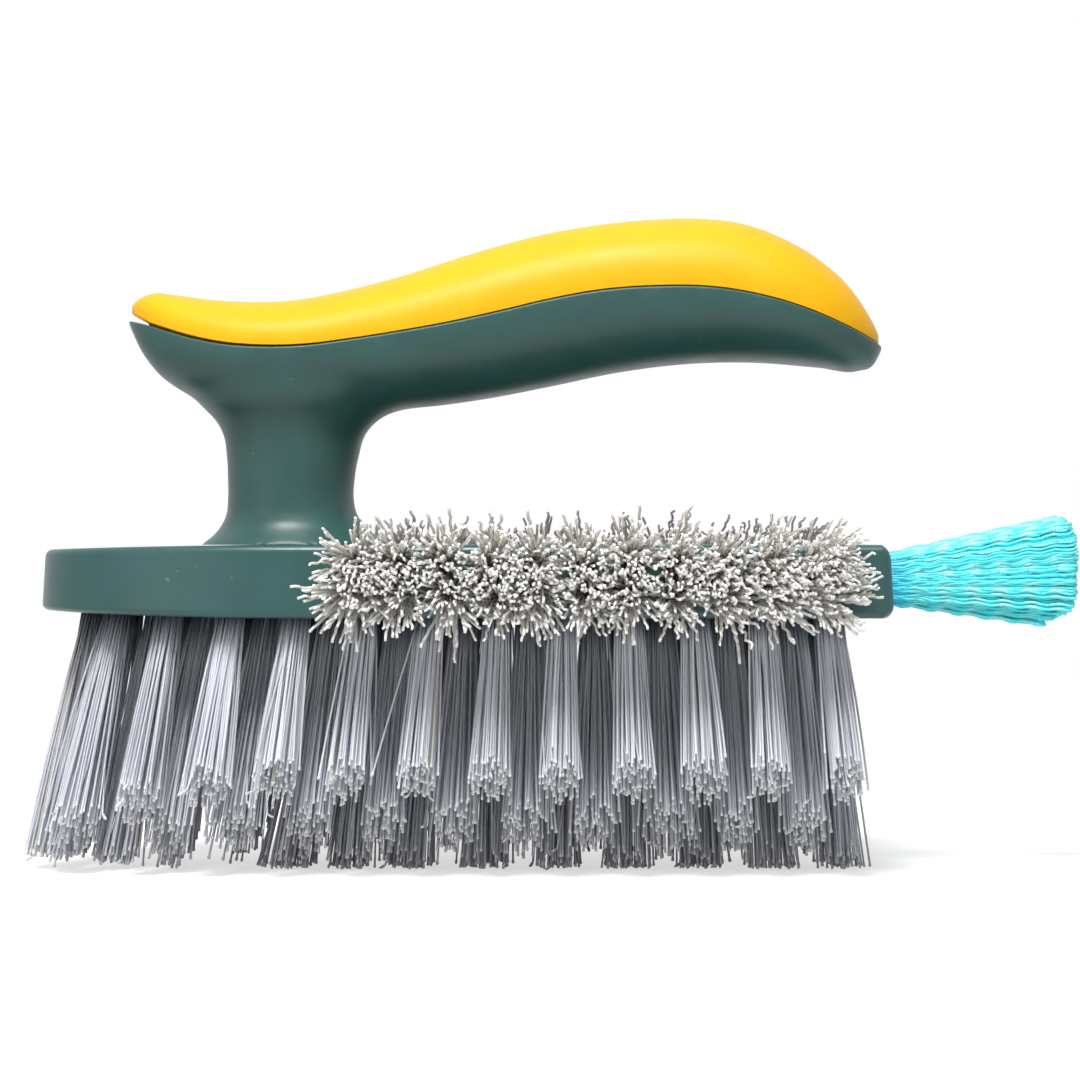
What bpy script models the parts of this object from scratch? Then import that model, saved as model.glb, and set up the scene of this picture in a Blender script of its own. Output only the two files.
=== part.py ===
# Scrub brush: a drilled block, a hollow handle with a clipped cover, and tufts of bristle.
# Metres, +Z up. X runs along the brush from its nose to the crevice tuft, and the tips of
# the middle bristles stand on Z = 0. Until the last step X = 0 is the tip of the block's nose.

import math

import bmesh
import bpy
import numpy as np
from mathutils import Matrix, Vector

# Clearances
fit_gap = 0.0003
overrun = 0.001
weld_share = 0.01

# Block
block_length = 0.1424
block_width = 0.052
block_thickness = 0.012
nose_length = 0.049
block_corner = 0.0022
block_rounding = 0.0012
rim_angle = math.radians(50)
nose_steps = 28
corner_steps = 4
rim_steps = 2

# Bottom bristles
bristle_length = 0.043
keel_width = 0.006
trim_angle = math.radians(38.5)
plug_radius = 0.002
hole_web = 0.0027
strand_radius = 0.0006
strand_ring_share = 0.58
strands_in_ring = 5
tuft_spread_share = 1.9
fan_nose_inset = 0.095
fan_along_share = 0.1
fan_across_share = 0.32
strand_reach_share = 1.2
plug_sides = 6
strand_root = 0.0008
golden_turn = math.radians(137.5)

# Rows of tufts, inset from the nose tip, from the side and from the rear end
outer_nose_inset = 0.0088
outer_side_inset = 0.0065
outer_rear_inset = 0.0104
outer_count = 12
inner_nose_inset = 0.0198
inner_side_inset = 0.01625
centre_nose_inset = 0.0656
centre_rear_inset = 0.010
centre_count = 7
row_samples = 181

# Side bristles
side_strip_length = 0.088
side_strip_depth = 0.0027
side_margin = 0.0015
side_row_pitch = 0.0058
side_end_margin = 0.0023
side_length = 0.0115
side_count = 9
side_strand_radius = 0.00042
side_hub_radius = 0.0010
side_crimp = 0.00045
side_up_angle = math.radians(38)
side_across_angle = math.radians(18)
side_across_turn = math.radians(65)
side_tilt = math.radians(7)
side_segments = 3
side_jitter_share = 0.12
side_jitter_seed = 7

# Crevice bristles
crevice_margin = 0.0013
crevice_root_width = 0.006
crevice_depth = 0.005
crevice_length = 0.0334
crevice_tip_height = 0.0194
crevice_tip_width = 0.0098
crevice_lift = 0.0019
crevice_strand_radius = 0.00034
crevice_crimp = 0.00035
crevice_rows = 3
crevice_columns = 10
crevice_segments = 3

# Handle
handle_setback = 0.0147
handle_length = 0.1278
handle_width = 0.030
handle_rise = 0.0552
handle_nose_round = 0.030
handle_heel_round = 0.020
handle_wall = 0.0022
handle_end = 0.0003
handle_rings = 25
arch_points = 13
hollow_rings = 19
hollow_points = 11

# Neck
neck_setback = 0.02755
neck_length = 0.0215
neck_width = 0.0202
neck_wall = 0.003
spigot_depth = 0.003
spigot_inset = 0.002
thread_depth = 0.007
floor_skin = 0.001
neck_points = 22
spigot_sides = 24
core_sides = 20

# Cover
cover_reveal = 0.0005
cover_wall = 0.0018
cover_skirt = 0.002
cover_nose_lift = 0.0017
cover_lift_length = 0.008
peg_radius = 0.002
peg_depth = 0.004
boss_wall = 0.0015
boss_drop = 0.003
peg_shares = (0.42, 0.82)
boss_sides = 16
bore_sides = 12

# Handle screw
screw_radius = 0.002
screw_head_radius = 0.0036
screw_head_height = 0.0022
screw_head_recess = 0.001
screw_point = 0.002
screw_slot_width = 0.001
screw_slot_length = 0.0046
screw_slot_depth = 0.0012
screw_point_share = 0.33
screw_chamfer_share = 0.67
screw_sides = 16

# Side view of the handle: (share of its length from the front, share of its rise)
crown_shares = (
    (0.0, 0.726), (0.012, 0.752), (0.033, 0.772), (0.06, 0.767), (0.088, 0.758),
    (0.147, 0.746), (0.227, 0.752), (0.28, 0.775), (0.36, 0.822), (0.426, 0.871),
    (0.493, 0.918), (0.559, 0.956), (0.626, 0.982), (0.692, 0.997), (0.759, 1.0),
    (0.812, 0.986), (0.868, 0.94), (0.918, 0.871), (0.958, 0.786), (0.985, 0.694),
    (1.0, 0.628),
)
lip_shares = (
    (0.0, 0.687), (0.029, 0.669), (0.063, 0.643), (0.093, 0.623), (0.13, 0.606),
    (0.185, 0.596), (0.236, 0.599), (0.30, 0.618), (0.366, 0.642), (0.43, 0.669),
    (0.495, 0.702), (0.559, 0.737), (0.624, 0.764), (0.70, 0.777), (0.77, 0.774),
    (0.83, 0.752), (0.881, 0.720), (0.948, 0.661), (1.0, 0.607),
)
belly_shares = (
    (0.0, 0.679), (0.0055, 0.65), (0.015, 0.603), (0.027, 0.56), (0.041, 0.522),
    (0.059, 0.489), (0.08, 0.460), (0.11, 0.437), (0.15, 0.423), (0.214, 0.413),
    (0.315, 0.413), (0.394, 0.424), (0.472, 0.448), (0.554, 0.484), (0.653, 0.531),
    (0.746, 0.557), (0.839, 0.560), (0.919, 0.545), (0.97, 0.535), (0.99, 0.555),
    (1.0, 0.598),
)
# Neck: (share of the height up to the arm, then shares of half its length to the front,
# of half its length to the rear and of half its width)
neck_shares = (
    (0.0, 1.42, 1.51, 1.41), (0.06, 1.25, 1.36, 1.27), (0.13, 1.12, 1.18, 1.13),
    (0.215, 1.03, 1.05, 1.05), (0.34, 1.0, 0.985, 1.01), (0.49, 1.0, 1.0, 1.0),
    (0.67, 1.02, 1.07, 1.01), (0.86, 1.10, 1.22, 1.07), (0.95, 1.24, 1.42, 1.15),
    (1.045, 1.44, 1.80, 1.26), (1.14, 1.58, 2.20, 1.34), (1.25, 1.64, 2.40, 1.37),
)
# Powers of the rounded sections: 2 is an ellipse, and more is squarer
arm_power = 2.4
dome_power = 2.3
neck_power = 2.1
sharp_angle = math.radians(35)

# Heights and places that follow
block_bottom = bristle_length
block_top = block_bottom + block_thickness
half_width = block_width / 2
hole_depth = block_thickness - spigot_depth - hole_web
plug_length = hole_depth - fit_gap
handle_front = handle_setback
handle_rear = handle_front + handle_length
neck_place = handle_front + neck_setback
neck_floor = block_top + thread_depth - spigot_depth + floor_skin
screw_seat = block_bottom + screw_head_recess + screw_head_height
crevice_root_height = block_thickness - 2 * crevice_margin
strand_reach = strand_reach_share * bristle_length
weld_distance = weld_share * fit_gap


def clear_scene():
    for found in list(bpy.data.objects):
        bpy.data.objects.remove(found, do_unlink=True)


def new_collection(name):
    made = bpy.data.collections.new(name)
    bpy.context.scene.collection.children.link(made)
    return made


def new_material(name, colour, roughness, metallic=0.0):
    made = bpy.data.materials.new(name)
    made.use_nodes = True
    made.diffuse_color = (*colour, 1)
    shader = made.node_tree.nodes["Principled BSDF"]
    shader.inputs["Base Color"].default_value = (*colour, 1)
    shader.inputs["Roughness"].default_value = roughness
    shader.inputs["Metallic"].default_value = metallic
    return made


def place_object(name, mesh, collection, material=None):
    made = bpy.data.objects.new(name, mesh)
    collection.objects.link(made)
    made.parent = origin
    if material:
        mesh.materials.clear()
        mesh.materials.append(material)
        mesh.shade_smooth()
        mesh.set_sharp_from_angle(angle=sharp_angle)
    return made


def add_part(name, mesh, material):
    return place_object(name, mesh, parts, material)


def add_cutter(name, mesh):
    made = place_object(name, mesh, cutters)
    made.hide_render = True
    made.display_type = "WIRE"
    return made


def combine(target, other, operation):
    modifier = target.modifiers.new(other.name, "BOOLEAN")
    modifier.operation = operation
    modifier.object = other


def mesh_of(bm, name):
    bmesh.ops.recalc_face_normals(bm, faces=bm.faces)
    mesh = bpy.data.meshes.new(name)
    bm.to_mesh(mesh)
    bm.free()
    return mesh


def evaluated_mesh(made):
    """The object's mesh with its modifiers applied, as a new mesh."""
    graph = bpy.context.evaluated_depsgraph_get()
    return bpy.data.meshes.new_from_object(made.evaluated_get(graph))


def add_box(bm, low, high):
    low, high = Vector(low), Vector(high)
    place = Matrix.Translation((low + high) / 2)
    bmesh.ops.create_cube(bm, size=1, matrix=place @ Matrix.Diagonal((*(high - low), 1)))


def add_rod(bm, radius, bottom, top, place, sides, flatten=1.0):
    """A cylinder along Z from bottom to top in the frame of place, flattened in its Y."""
    middle = Matrix.Translation((0, 0, (bottom + top) / 2)) @ Matrix.Diagonal((1, flatten, 1, 1))
    bmesh.ops.create_cone(
        bm,
        cap_ends=True,
        segments=sides,
        radius1=radius,
        radius2=radius,
        depth=top - bottom,
        matrix=place @ middle,
    )


def mesh_from_curve(name, curve):
    """The welded mesh of a curve, whose object is removed."""
    guide = bpy.data.objects.new(name, curve)
    cutters.objects.link(guide)
    mesh = evaluated_mesh(guide)
    bpy.data.objects.remove(guide, do_unlink=True)
    bm = bmesh.new()
    bm.from_mesh(mesh)
    bmesh.ops.remove_doubles(bm, verts=bm.verts, dist=weld_distance)
    return mesh_of(bm, name)


def extruded_outline(name, outline, depth):
    """A flat outline in XY, as thick as depth, with Z = 0 at its middle."""
    curve = bpy.data.curves.new(name, "CURVE")
    curve.dimensions = "2D"
    curve.fill_mode = "BOTH"
    curve.extrude = depth / 2
    spline = curve.splines.new("POLY")
    spline.points.add(len(outline) - 1)
    for point, place in zip(spline.points, outline):
        point.co = (*place, 0, 1)
    spline.use_cyclic_u = True
    return mesh_from_curve(name, curve)


def loft(name, rings):
    """A closed solid through rings of as many points each, with a flat face at either end."""
    bm = bmesh.new()
    rows = [[bm.verts.new(point) for point in ring] for ring in rings]
    for row, after in zip(rows, rows[1:]):
        for i in range(len(row)):
            j = (i + 1) % len(row)
            bm.faces.new((row[i], row[j], after[j], after[i]))
    bm.faces.new(rows[0])
    bm.faces.new(reversed(rows[-1]))
    return mesh_of(bm, name)


def smooth_value(shares, at):
    """A cubic curve through the pairs of shares, read at a place or at several."""
    places, values = np.array(shares).T
    slopes = np.gradient(values, places)
    i = np.clip(np.searchsorted(places, at) - 1, 0, len(places) - 2)
    step = places[i + 1] - places[i]
    t = np.clip((at - places[i]) / step, 0, 1)
    rise = values[i + 1] - values[i]
    bend = slopes[i] * step * (1 - t) - slopes[i + 1] * step * t + rise * (2 * t - 1)
    return values[i] + rise * t + t * (1 - t) * bend


def handle_height(shares, x):
    """Height over the floor of the crown, the lip or the belly at x."""
    return block_top + handle_rise * float(smooth_value(shares, (x - handle_front) / handle_length))


def handle_half_width(x, inset):
    """Half the handle's width at x, in an outline moved in by inset."""
    nose = (x - handle_front - inset) / (handle_nose_round - inset)
    heel = (handle_rear - inset - x) / (handle_heel_round - inset)
    ends = [math.sqrt(max(0, 1 - (1 - min(1, end)) ** 2)) for end in (nose, heel)]
    return (handle_width / 2 - inset) * ends[0] * ends[1]


def handle_stations(inset, count):
    """Places along the handle, closer together near its ends."""
    first = handle_front + inset + handle_end
    last = handle_rear - inset - handle_end
    steps = (1 - np.cos(np.linspace(0, math.pi, count))) / 2
    return [float(first + (last - first) * step) for step in steps]


def arch(x, half, base, peak, power, steps, upright=0.0):
    """Points in the plane of x from +Y to -Y, over an arch between base and peak."""
    points = []
    if upright:
        points.append(Vector((x, half, base - upright)))
    for angle in np.linspace(0, math.pi, steps):
        across = math.copysign(abs(math.cos(angle)) ** (2 / power), math.cos(angle))
        along = math.sin(angle) ** (2 / power) if 0 < angle < math.pi else 0
        points.append(Vector((x, half * across, base + (peak - base) * along)))
    if upright:
        points.append(Vector((x, -half, base - upright)))
    return points


def make_block():
    """The block's outline: half an ellipse at the nose and a squared rear end."""
    corner = block_length - block_corner
    outline = []
    for angle in np.linspace(-math.pi / 2, math.pi / 2, nose_steps + 1):
        across = -half_width * math.sin(angle)
        outline.append((nose_length * (1 - math.cos(angle)), across))
    for side, first in ((-1, -math.pi / 2), (1, 0)):
        for angle in np.linspace(first, first + math.pi / 2, corner_steps + 1):
            round_x = corner + block_corner * math.cos(angle)
            round_y = side * (half_width - block_corner) + block_corner * math.sin(angle)
            outline.append((round_x, round_y))
    mesh = extruded_outline("brush_block", outline, block_thickness)
    block = add_part("brush_block", mesh, green)
    block.location.z = block_bottom + block_thickness / 2
    bevel = block.modifiers.new("rounded_rims", "BEVEL")
    bevel.width = block_rounding
    bevel.segments = rim_steps
    bevel.limit_method = "ANGLE"
    bevel.angle_limit = rim_angle
    return block


def outer_places():
    """Places of one side of the outer ring, evenly spaced along its half ellipse and side."""
    long, wide = nose_length - outer_nose_inset, half_width - outer_side_inset
    angles = np.linspace(0, math.pi / 2, row_samples)
    x = np.append(nose_length - long * np.cos(angles), block_length - outer_rear_inset)
    y = np.append(wide * np.sin(angles), wide)
    along = np.append(0, np.cumsum(np.hypot(np.diff(x), np.diff(y))))
    at = along[-1] * (np.arange(outer_count) + 1) / outer_count
    found = zip(np.interp(at, along, x), np.interp(at, along, y))
    return [(float(place_x), float(place_y)) for place_x, place_y in found]


def inner_places(outer):
    """Places of one side of the inner ring, each half way along between two outer tufts."""
    long, wide = nose_length - inner_nose_inset, half_width - inner_side_inset
    found = []
    for (x, _), (after, _) in zip(outer[1:], outer[2:]):
        middle = (x + after) / 2
        away = max(0, (nose_length - middle) / long)
        found.append((middle, wide * math.sqrt(1 - away**2)))
    return found


def tuft_places():
    """{name: (x, y)} of every bottom tuft."""
    found = {"outer_tuft_nose": (outer_nose_inset, 0.0)}
    outer = outer_places()
    for row, places in (("outer", outer), ("inner", inner_places(outer))):
        for side, sign in (("left", 1), ("right", -1)):
            for i, (x, y) in enumerate(places):
                found[f"{row}_tuft_{side}_{i + 1:02d}"] = (x, sign * y)
    centre_rear = block_length - centre_rear_inset
    centre = [inner_nose_inset, *np.linspace(centre_nose_inset, centre_rear, centre_count)]
    for i, x in enumerate(centre):
        found[f"centre_tuft_{i + 1:02d}"] = (float(x), 0.0)
    return found


def tuft_frame(place, turn):
    """The tuft's own frame: Z runs up its hole, leaning in from the fan of its tips."""
    x, y = place
    fan = Vector(((x - fan_nose_inset) * fan_along_share, y * fan_across_share, 0))
    axis = (Vector((0, 0, bristle_length)) - fan).normalized()
    lean = Vector((0, 0, 1)).rotation_difference(axis)
    turned = lean.to_matrix().to_4x4() @ Matrix.Rotation(turn, 4, "Z")
    return Matrix.Translation((x, y, block_bottom)) @ turned


def make_profile(name, radius):
    """A triangle, which gives a strand three sides."""
    curve = bpy.data.curves.new(name, "CURVE")
    curve.dimensions = "2D"
    spline = curve.splines.new("POLY")
    spline.points.add(2)
    for i, point in enumerate(spline.points):
        turn = 2 * math.pi * i / 3
        point.co = (radius * math.cos(turn), radius * math.sin(turn), 0, 1)
    spline.use_cyclic_u = True
    made = bpy.data.objects.new(name, curve)
    cutters.objects.link(made)
    made.hide_render = True
    return made


def strands_of(name, paths, radius):
    """Three-sided strands along straight-sided paths, as one mesh of separate closed tubes."""
    profile = make_profile(name + "_profile", radius)
    curve = bpy.data.curves.new(name, "CURVE")
    curve.dimensions = "3D"
    curve.bevel_mode = "OBJECT"
    curve.bevel_object = profile
    curve.use_fill_caps = True
    for path in paths:
        spline = curve.splines.new("POLY")
        spline.points.add(len(path) - 1)
        for point, place in zip(spline.points, path):
            point.co = (*place, 1)
    mesh = mesh_from_curve(name, curve)
    bpy.data.objects.remove(profile, do_unlink=True)
    return mesh


def make_tuft_mesh():
    """A plug with its strands, in the tuft's own frame and longer than the trim leaves them."""
    ring = strand_ring_share * plug_radius
    roots = [Vector((0, 0, 0))]
    for i in range(strands_in_ring):
        turn = 2 * math.pi * i / strands_in_ring
        roots.append(Vector((ring * math.cos(turn), ring * math.sin(turn), 0)))
    paths = []
    for root in roots:
        tip = root * (1 + tuft_spread_share) - Vector((0, 0, strand_reach))
        lean = (tip - root).normalized()
        paths.append((root - lean * strand_root, tip))
    strands = add_cutter("tuft_strands", strands_of("tuft_strands", paths, strand_radius))
    bm = bmesh.new()
    add_rod(bm, plug_radius, 0, plug_length, Matrix.Identity(4), plug_sides)
    plug = add_cutter("tuft_plug", mesh_of(bm, "tuft_plug"))
    combine(plug, strands, "UNION")
    mesh = evaluated_mesh(plug)
    mesh.name = "tuft"
    for made in (plug, strands):
        bpy.data.objects.remove(made, do_unlink=True)
    return mesh


def make_trim():
    """All that lies under the trimmed tips: flat along the keel, sloping up to both sides."""
    keel = keel_width / 2
    reach = block_width
    low = -bristle_length
    high = (reach - keel) * math.tan(trim_angle)
    outline = ((-reach, low), (reach, low), (reach, high), (keel, 0), (-keel, 0), (-reach, high))
    mesh = extruded_outline("trim", outline, 2 * block_length)
    trim = add_cutter("trim", mesh)
    trim.rotation_euler = (math.pi / 2, 0, math.pi / 2)
    trim.location.x = block_length / 2
    return trim


def make_tufts(block):
    """Each tuft in its hole. One mesh serves all, turned and leaned, then trimmed in place."""
    mesh = make_tuft_mesh()
    trim = make_trim()
    holes = bmesh.new()
    for i, (name, place) in enumerate(tuft_places().items()):
        frame = tuft_frame(place, i * golden_turn)
        tuft = add_part(name, mesh, grey_bristle)
        tuft.matrix_local = frame
        combine(tuft, trim, "DIFFERENCE")
        add_rod(holes, plug_radius + fit_gap, -overrun, hole_depth, frame, plug_sides)
    combine(block, add_cutter("tuft_holes", mesh_of(holes, "tuft_holes")), "DIFFERENCE")


def crimped_path(root, direction, length, turn):
    """A zigzag strand from inside its backing, with crimps in the plane that turn picks."""
    across = direction.cross(Vector((1, 0, 0))).normalized()
    across.rotate(Matrix.Rotation(turn, 3, direction))
    path = [root - direction * strand_root]
    for i in range(1, side_segments + 1):
        swing = side_crimp if i % 2 else -side_crimp
        path.append(root + direction * (length * i / side_segments) + across * swing)
    return path


def side_paths(sign, first, last, middle):
    """Strands of two rows of tufts: the upper row fans up and across, the lower one down.

    They are worked out for the wall at +Y and mirrored to the other one by sign.
    """
    jitter = np.random.default_rng(side_jitter_seed)
    paths = []
    for row in (1, -1):
        height = middle + row * side_row_pitch / 2
        for x in np.linspace(first, last, side_count):
            for turn in (-side_across_turn, 0, side_across_turn):
                spread = side_across_angle if turn else side_up_angle
                spread *= 1 + side_jitter_share * (jitter.random() - 0.5)
                radial = Vector((math.sin(turn), 0, row * math.cos(turn)))
                direction = Vector((0, math.cos(spread), 0)) + radial * math.sin(spread)
                direction.z += math.sin(side_tilt)
                direction.normalize()
                root = Vector((float(x), half_width, height)) + radial * side_hub_radius
                length = side_length * (1 - side_jitter_share * jitter.random())
                swing = 2 * math.pi * jitter.random()
                path = crimped_path(root, direction, length, swing)
                paths.append([Vector((point.x, sign * point.y, point.z)) for point in path])
    return paths


def make_side_bristles(block, side, sign):
    """A strip of backing let into the block's wall, with its two rows of crimped strands."""
    first, last = nose_length, nose_length + side_strip_length
    low, high = block_bottom + side_margin, block_top - side_margin
    middle = (low + high) / 2
    face = sign * half_width
    back = sign * (half_width - side_strip_depth)
    bm = bmesh.new()
    add_box(bm, (first, min(face, back), low), (last, max(face, back), high))
    name = f"side_bristles_{side}"
    strip = add_part(name, mesh_of(bm, name), pale_bristle)
    paths = side_paths(sign, first + side_end_margin, last - side_end_margin, middle)
    strands = strands_of(name + "_strands", paths, side_strand_radius)
    combine(strip, add_cutter(name + "_strands", strands), "UNION")
    inner = sign * (half_width - side_strip_depth - fit_gap)
    outer = sign * (half_width + overrun)
    bm = bmesh.new()
    add_box(
        bm,
        (first - fit_gap, min(inner, outer), low - fit_gap),
        (last + fit_gap, max(inner, outer), high + fit_gap),
    )
    combine(block, add_cutter(name + "_slot", mesh_of(bm, name + "_slot")), "DIFFERENCE")


def crevice_paths(middle):
    """Strands on a grid that widens toward the tips, all crimped alike, so that none cross."""
    root_high = crevice_root_height - 2 * crevice_strand_radius - crevice_margin / 2
    root_wide = crevice_root_width - 4 * crevice_strand_radius
    paths = []
    for across in np.linspace(-0.5, 0.5, crevice_rows):
        for up in np.linspace(-0.5, 0.5, crevice_columns):
            root = Vector((block_length, across * root_wide, middle + up * root_high))
            tip_z = middle + crevice_lift + up * (crevice_tip_height - 2 * crevice_strand_radius)
            tip_y = across * (crevice_tip_width - 2 * crevice_strand_radius)
            tip = Vector((block_length + crevice_length, tip_y, tip_z))
            path = [root - Vector((strand_root, 0, 0))]
            for i in range(1, crevice_segments + 1):
                swing = crevice_crimp if i % 2 else -crevice_crimp
                path.append(root.lerp(tip, i / crevice_segments) + Vector((0, 0, swing)))
            path[-1].z -= swing
            paths.append(path)
    return paths


def make_crevice_bristles(block):
    """The flat tuft at the rear end: a plug in a pocket of the block, and crimped strands."""
    low, high = block_bottom + crevice_margin, block_top - crevice_margin
    half = crevice_root_width / 2
    middle = (low + high) / 2
    bm = bmesh.new()
    add_box(bm, (block_length - crevice_depth, -half, low), (block_length, half, high))
    plug = add_part("crevice_bristles", mesh_of(bm, "crevice_bristles"), blue_bristle)
    strands = strands_of("crevice_strands", crevice_paths(middle), crevice_strand_radius)
    combine(plug, add_cutter("crevice_strands", strands), "UNION")
    bm = bmesh.new()
    add_box(
        bm,
        (block_length - crevice_depth - fit_gap, -half - fit_gap, low - fit_gap),
        (block_length + overrun, half + fit_gap, high + fit_gap),
    )
    combine(block, add_cutter("crevice_pocket", mesh_of(bm, "crevice_pocket")), "DIFFERENCE")


def neck_ring(height, front, rear, side):
    """A section of the neck, level at height, that reaches front, rear and side of its middle."""
    ring = []
    for turn in np.arange(neck_points) * 2 * math.pi / neck_points:
        along = math.copysign(abs(math.cos(turn)) ** (2 / neck_power), math.cos(turn))
        across = math.copysign(abs(math.sin(turn)) ** (2 / neck_power), math.sin(turn))
        reach = rear if along > 0 else front
        ring.append(Vector((neck_place + along * reach, across * side, height)))
    return ring


def make_arm():
    """The handle's arm, closed on top along the lip."""
    rings = []
    for x in handle_stations(0, handle_rings):
        base, floor = handle_height(lip_shares, x), handle_height(belly_shares, x)
        rings.append(arch(x, handle_half_width(x, 0), base, floor, arm_power, arch_points))
    return loft("handle_shell", rings)


def make_neck(arm_height):
    """The neck, from its flared foot on the block up into the arm."""
    rings = []
    half_long, half_wide = neck_length / 2, neck_width / 2
    foot = block_top + fit_gap
    for up, front, rear, side in neck_shares:
        height = foot + up * (arm_height - foot)
        reach = (half_long * front, half_long * rear, half_wide * side)
        rings.append(neck_ring(height, *reach))
    return loft("neck", rings)


def hollow_ring(x, inset):
    """The section of the space inside the arm, from its floor up past the lip."""
    floors = (x - handle_wall, x, x + handle_wall)
    floor = max(handle_height(belly_shares, place) for place in floors) + inset
    lip = handle_height(lip_shares, x)
    half = handle_half_width(x, inset)
    floor = min(floor, lip - overrun)
    return arch(x, half, lip, floor, arm_power, hollow_points, upright=-handle_wall)


def make_handle_shell(block):
    """The hollow handle with its neck, spigot, screw hole and the bosses for the cover."""
    shell = add_part("handle_shell", make_arm(), green)
    arm_height = handle_height(belly_shares, neck_place)
    combine(shell, add_cutter("neck", make_neck(arm_height)), "UNION")

    spigot = bmesh.new()
    half_long, half_wide = neck_length / 2 - spigot_inset, neck_width / 2 - spigot_inset
    flat = half_wide / half_long
    centre = Matrix.Translation((neck_place, 0, 0))
    low = block_top - spigot_depth
    add_rod(spigot, half_long, low, neck_floor, centre, spigot_sides, flat)
    combine(shell, add_cutter("spigot", mesh_of(spigot, "spigot")), "UNION")
    socket = bmesh.new()
    socket_long, socket_wide = half_long + fit_gap, half_wide + fit_gap
    socket_low, socket_high = low - fit_gap, block_top + overrun
    flat = socket_wide / socket_long
    add_rod(socket, socket_long, socket_low, socket_high, centre, spigot_sides, flat)
    combine(block, add_cutter("spigot_socket", mesh_of(socket, "spigot_socket")), "DIFFERENCE")

    rings = [hollow_ring(x, handle_wall) for x in handle_stations(handle_wall, handle_rings)]
    combine(shell, add_cutter("arm_hollow", loft("arm_hollow", rings)), "DIFFERENCE")
    core = bmesh.new()
    core_long, core_wide = neck_length / 2 - neck_wall, neck_width / 2 - neck_wall
    core_top = arm_height + handle_wall + overrun
    flat = core_wide / core_long
    add_rod(core, core_long, neck_floor, core_top, centre, core_sides, flat)
    combine(shell, add_cutter("neck_core", mesh_of(core, "neck_core")), "DIFFERENCE")

    bosses, bores = bmesh.new(), bmesh.new()
    for share in peg_shares:
        x = handle_front + share * handle_length
        upright = Matrix.Translation((x, 0, 0))
        top = handle_height(lip_shares, x) - boss_drop
        foot = handle_height(belly_shares, x) + handle_wall / 2
        add_rod(bosses, peg_radius + fit_gap + boss_wall, foot, top, upright, boss_sides)
        bore_foot = top - peg_depth - fit_gap
        add_rod(bores, peg_radius + fit_gap, bore_foot, top + overrun, upright, bore_sides)
    combine(shell, add_cutter("peg_bosses", mesh_of(bosses, "peg_bosses")), "UNION")
    pilot_top = low + thread_depth + fit_gap
    add_rod(bores, screw_radius + fit_gap, low - overrun, pilot_top, centre, bore_sides)
    combine(shell, add_cutter("handle_bores", mesh_of(bores, "handle_bores")), "DIFFERENCE")


def cover_base(x):
    """The cover's lower edge, a gap above the lip and lifted off it at the nose."""
    near = max(0, 1 - (x - handle_front) / cover_lift_length)
    return handle_height(lip_shares, x) + fit_gap + cover_nose_lift * near**2


def make_cover():
    """The cover: a domed shell with a skirt inside the handle's rim and two pegs."""
    rings = []
    for x in handle_stations(cover_reveal, handle_rings):
        half, base = handle_half_width(x, cover_reveal), cover_base(x)
        crown = max(handle_height(crown_shares, x), base + handle_end)
        rings.append(arch(x, half, base, crown, dome_power, arch_points))
    cover = add_part("grip_cover", loft("grip_cover", rings), yellow)

    rings = []
    skirt_inset = handle_wall + 2 * fit_gap
    for x in handle_stations(skirt_inset, handle_rings):
        ring = hollow_ring(x, skirt_inset)
        low = handle_height(lip_shares, x) - cover_skirt
        for point in ring:
            point.z = max(point.z, low)
        ring[0].z = ring[-1].z = cover_base(x) + cover_wall / 2
        rings.append(ring)
    combine(cover, add_cutter("cover_skirt", loft("cover_skirt", rings)), "UNION")

    rings = []
    hollow_inset = skirt_inset + cover_wall
    for x in handle_stations(hollow_inset, hollow_rings):
        half = handle_half_width(x, hollow_inset)
        crowns = (x - cover_wall, x, x + cover_wall)
        peak = min(handle_height(crown_shares, place) for place in crowns) - cover_wall
        base = cover_base(x)
        peak = max(peak, base + handle_end)
        drop = base - handle_height(lip_shares, x) + cover_skirt + overrun
        rings.append(arch(x, half, base, peak, dome_power, hollow_points, upright=drop))
    combine(cover, add_cutter("cover_hollow", loft("cover_hollow", rings)), "DIFFERENCE")

    pegs = bmesh.new()
    for share in peg_shares:
        x = handle_front + share * handle_length
        foot = handle_height(lip_shares, x) - boss_drop - peg_depth
        top = handle_height(crown_shares, x) - cover_wall / 2
        add_rod(pegs, peg_radius, foot, top, Matrix.Translation((x, 0, 0)), bore_sides)
    combine(cover, add_cutter("cover_pegs", mesh_of(pegs, "cover_pegs")), "UNION")


def make_screw_mesh(length):
    """A turned screw, head down, from its head's underside at Z = 0 up to its point."""
    neck = length - screw_point
    profile = (
        (0, length),
        (screw_radius * screw_point_share, length),
        (screw_radius, neck),
        (screw_radius, 0),
        (screw_head_radius, 0),
        (screw_head_radius, -screw_head_height / 2),
        (screw_head_radius * screw_chamfer_share, -screw_head_height),
        (0, -screw_head_height),
    )
    bm = bmesh.new()
    points = [bm.verts.new((radius, 0, height)) for radius, height in profile]
    for pair in zip(points, points[1:]):
        bm.edges.new(pair)
    mesh = bpy.data.meshes.new("handle_screw")
    bm.to_mesh(mesh)
    bm.free()
    return mesh


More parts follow.
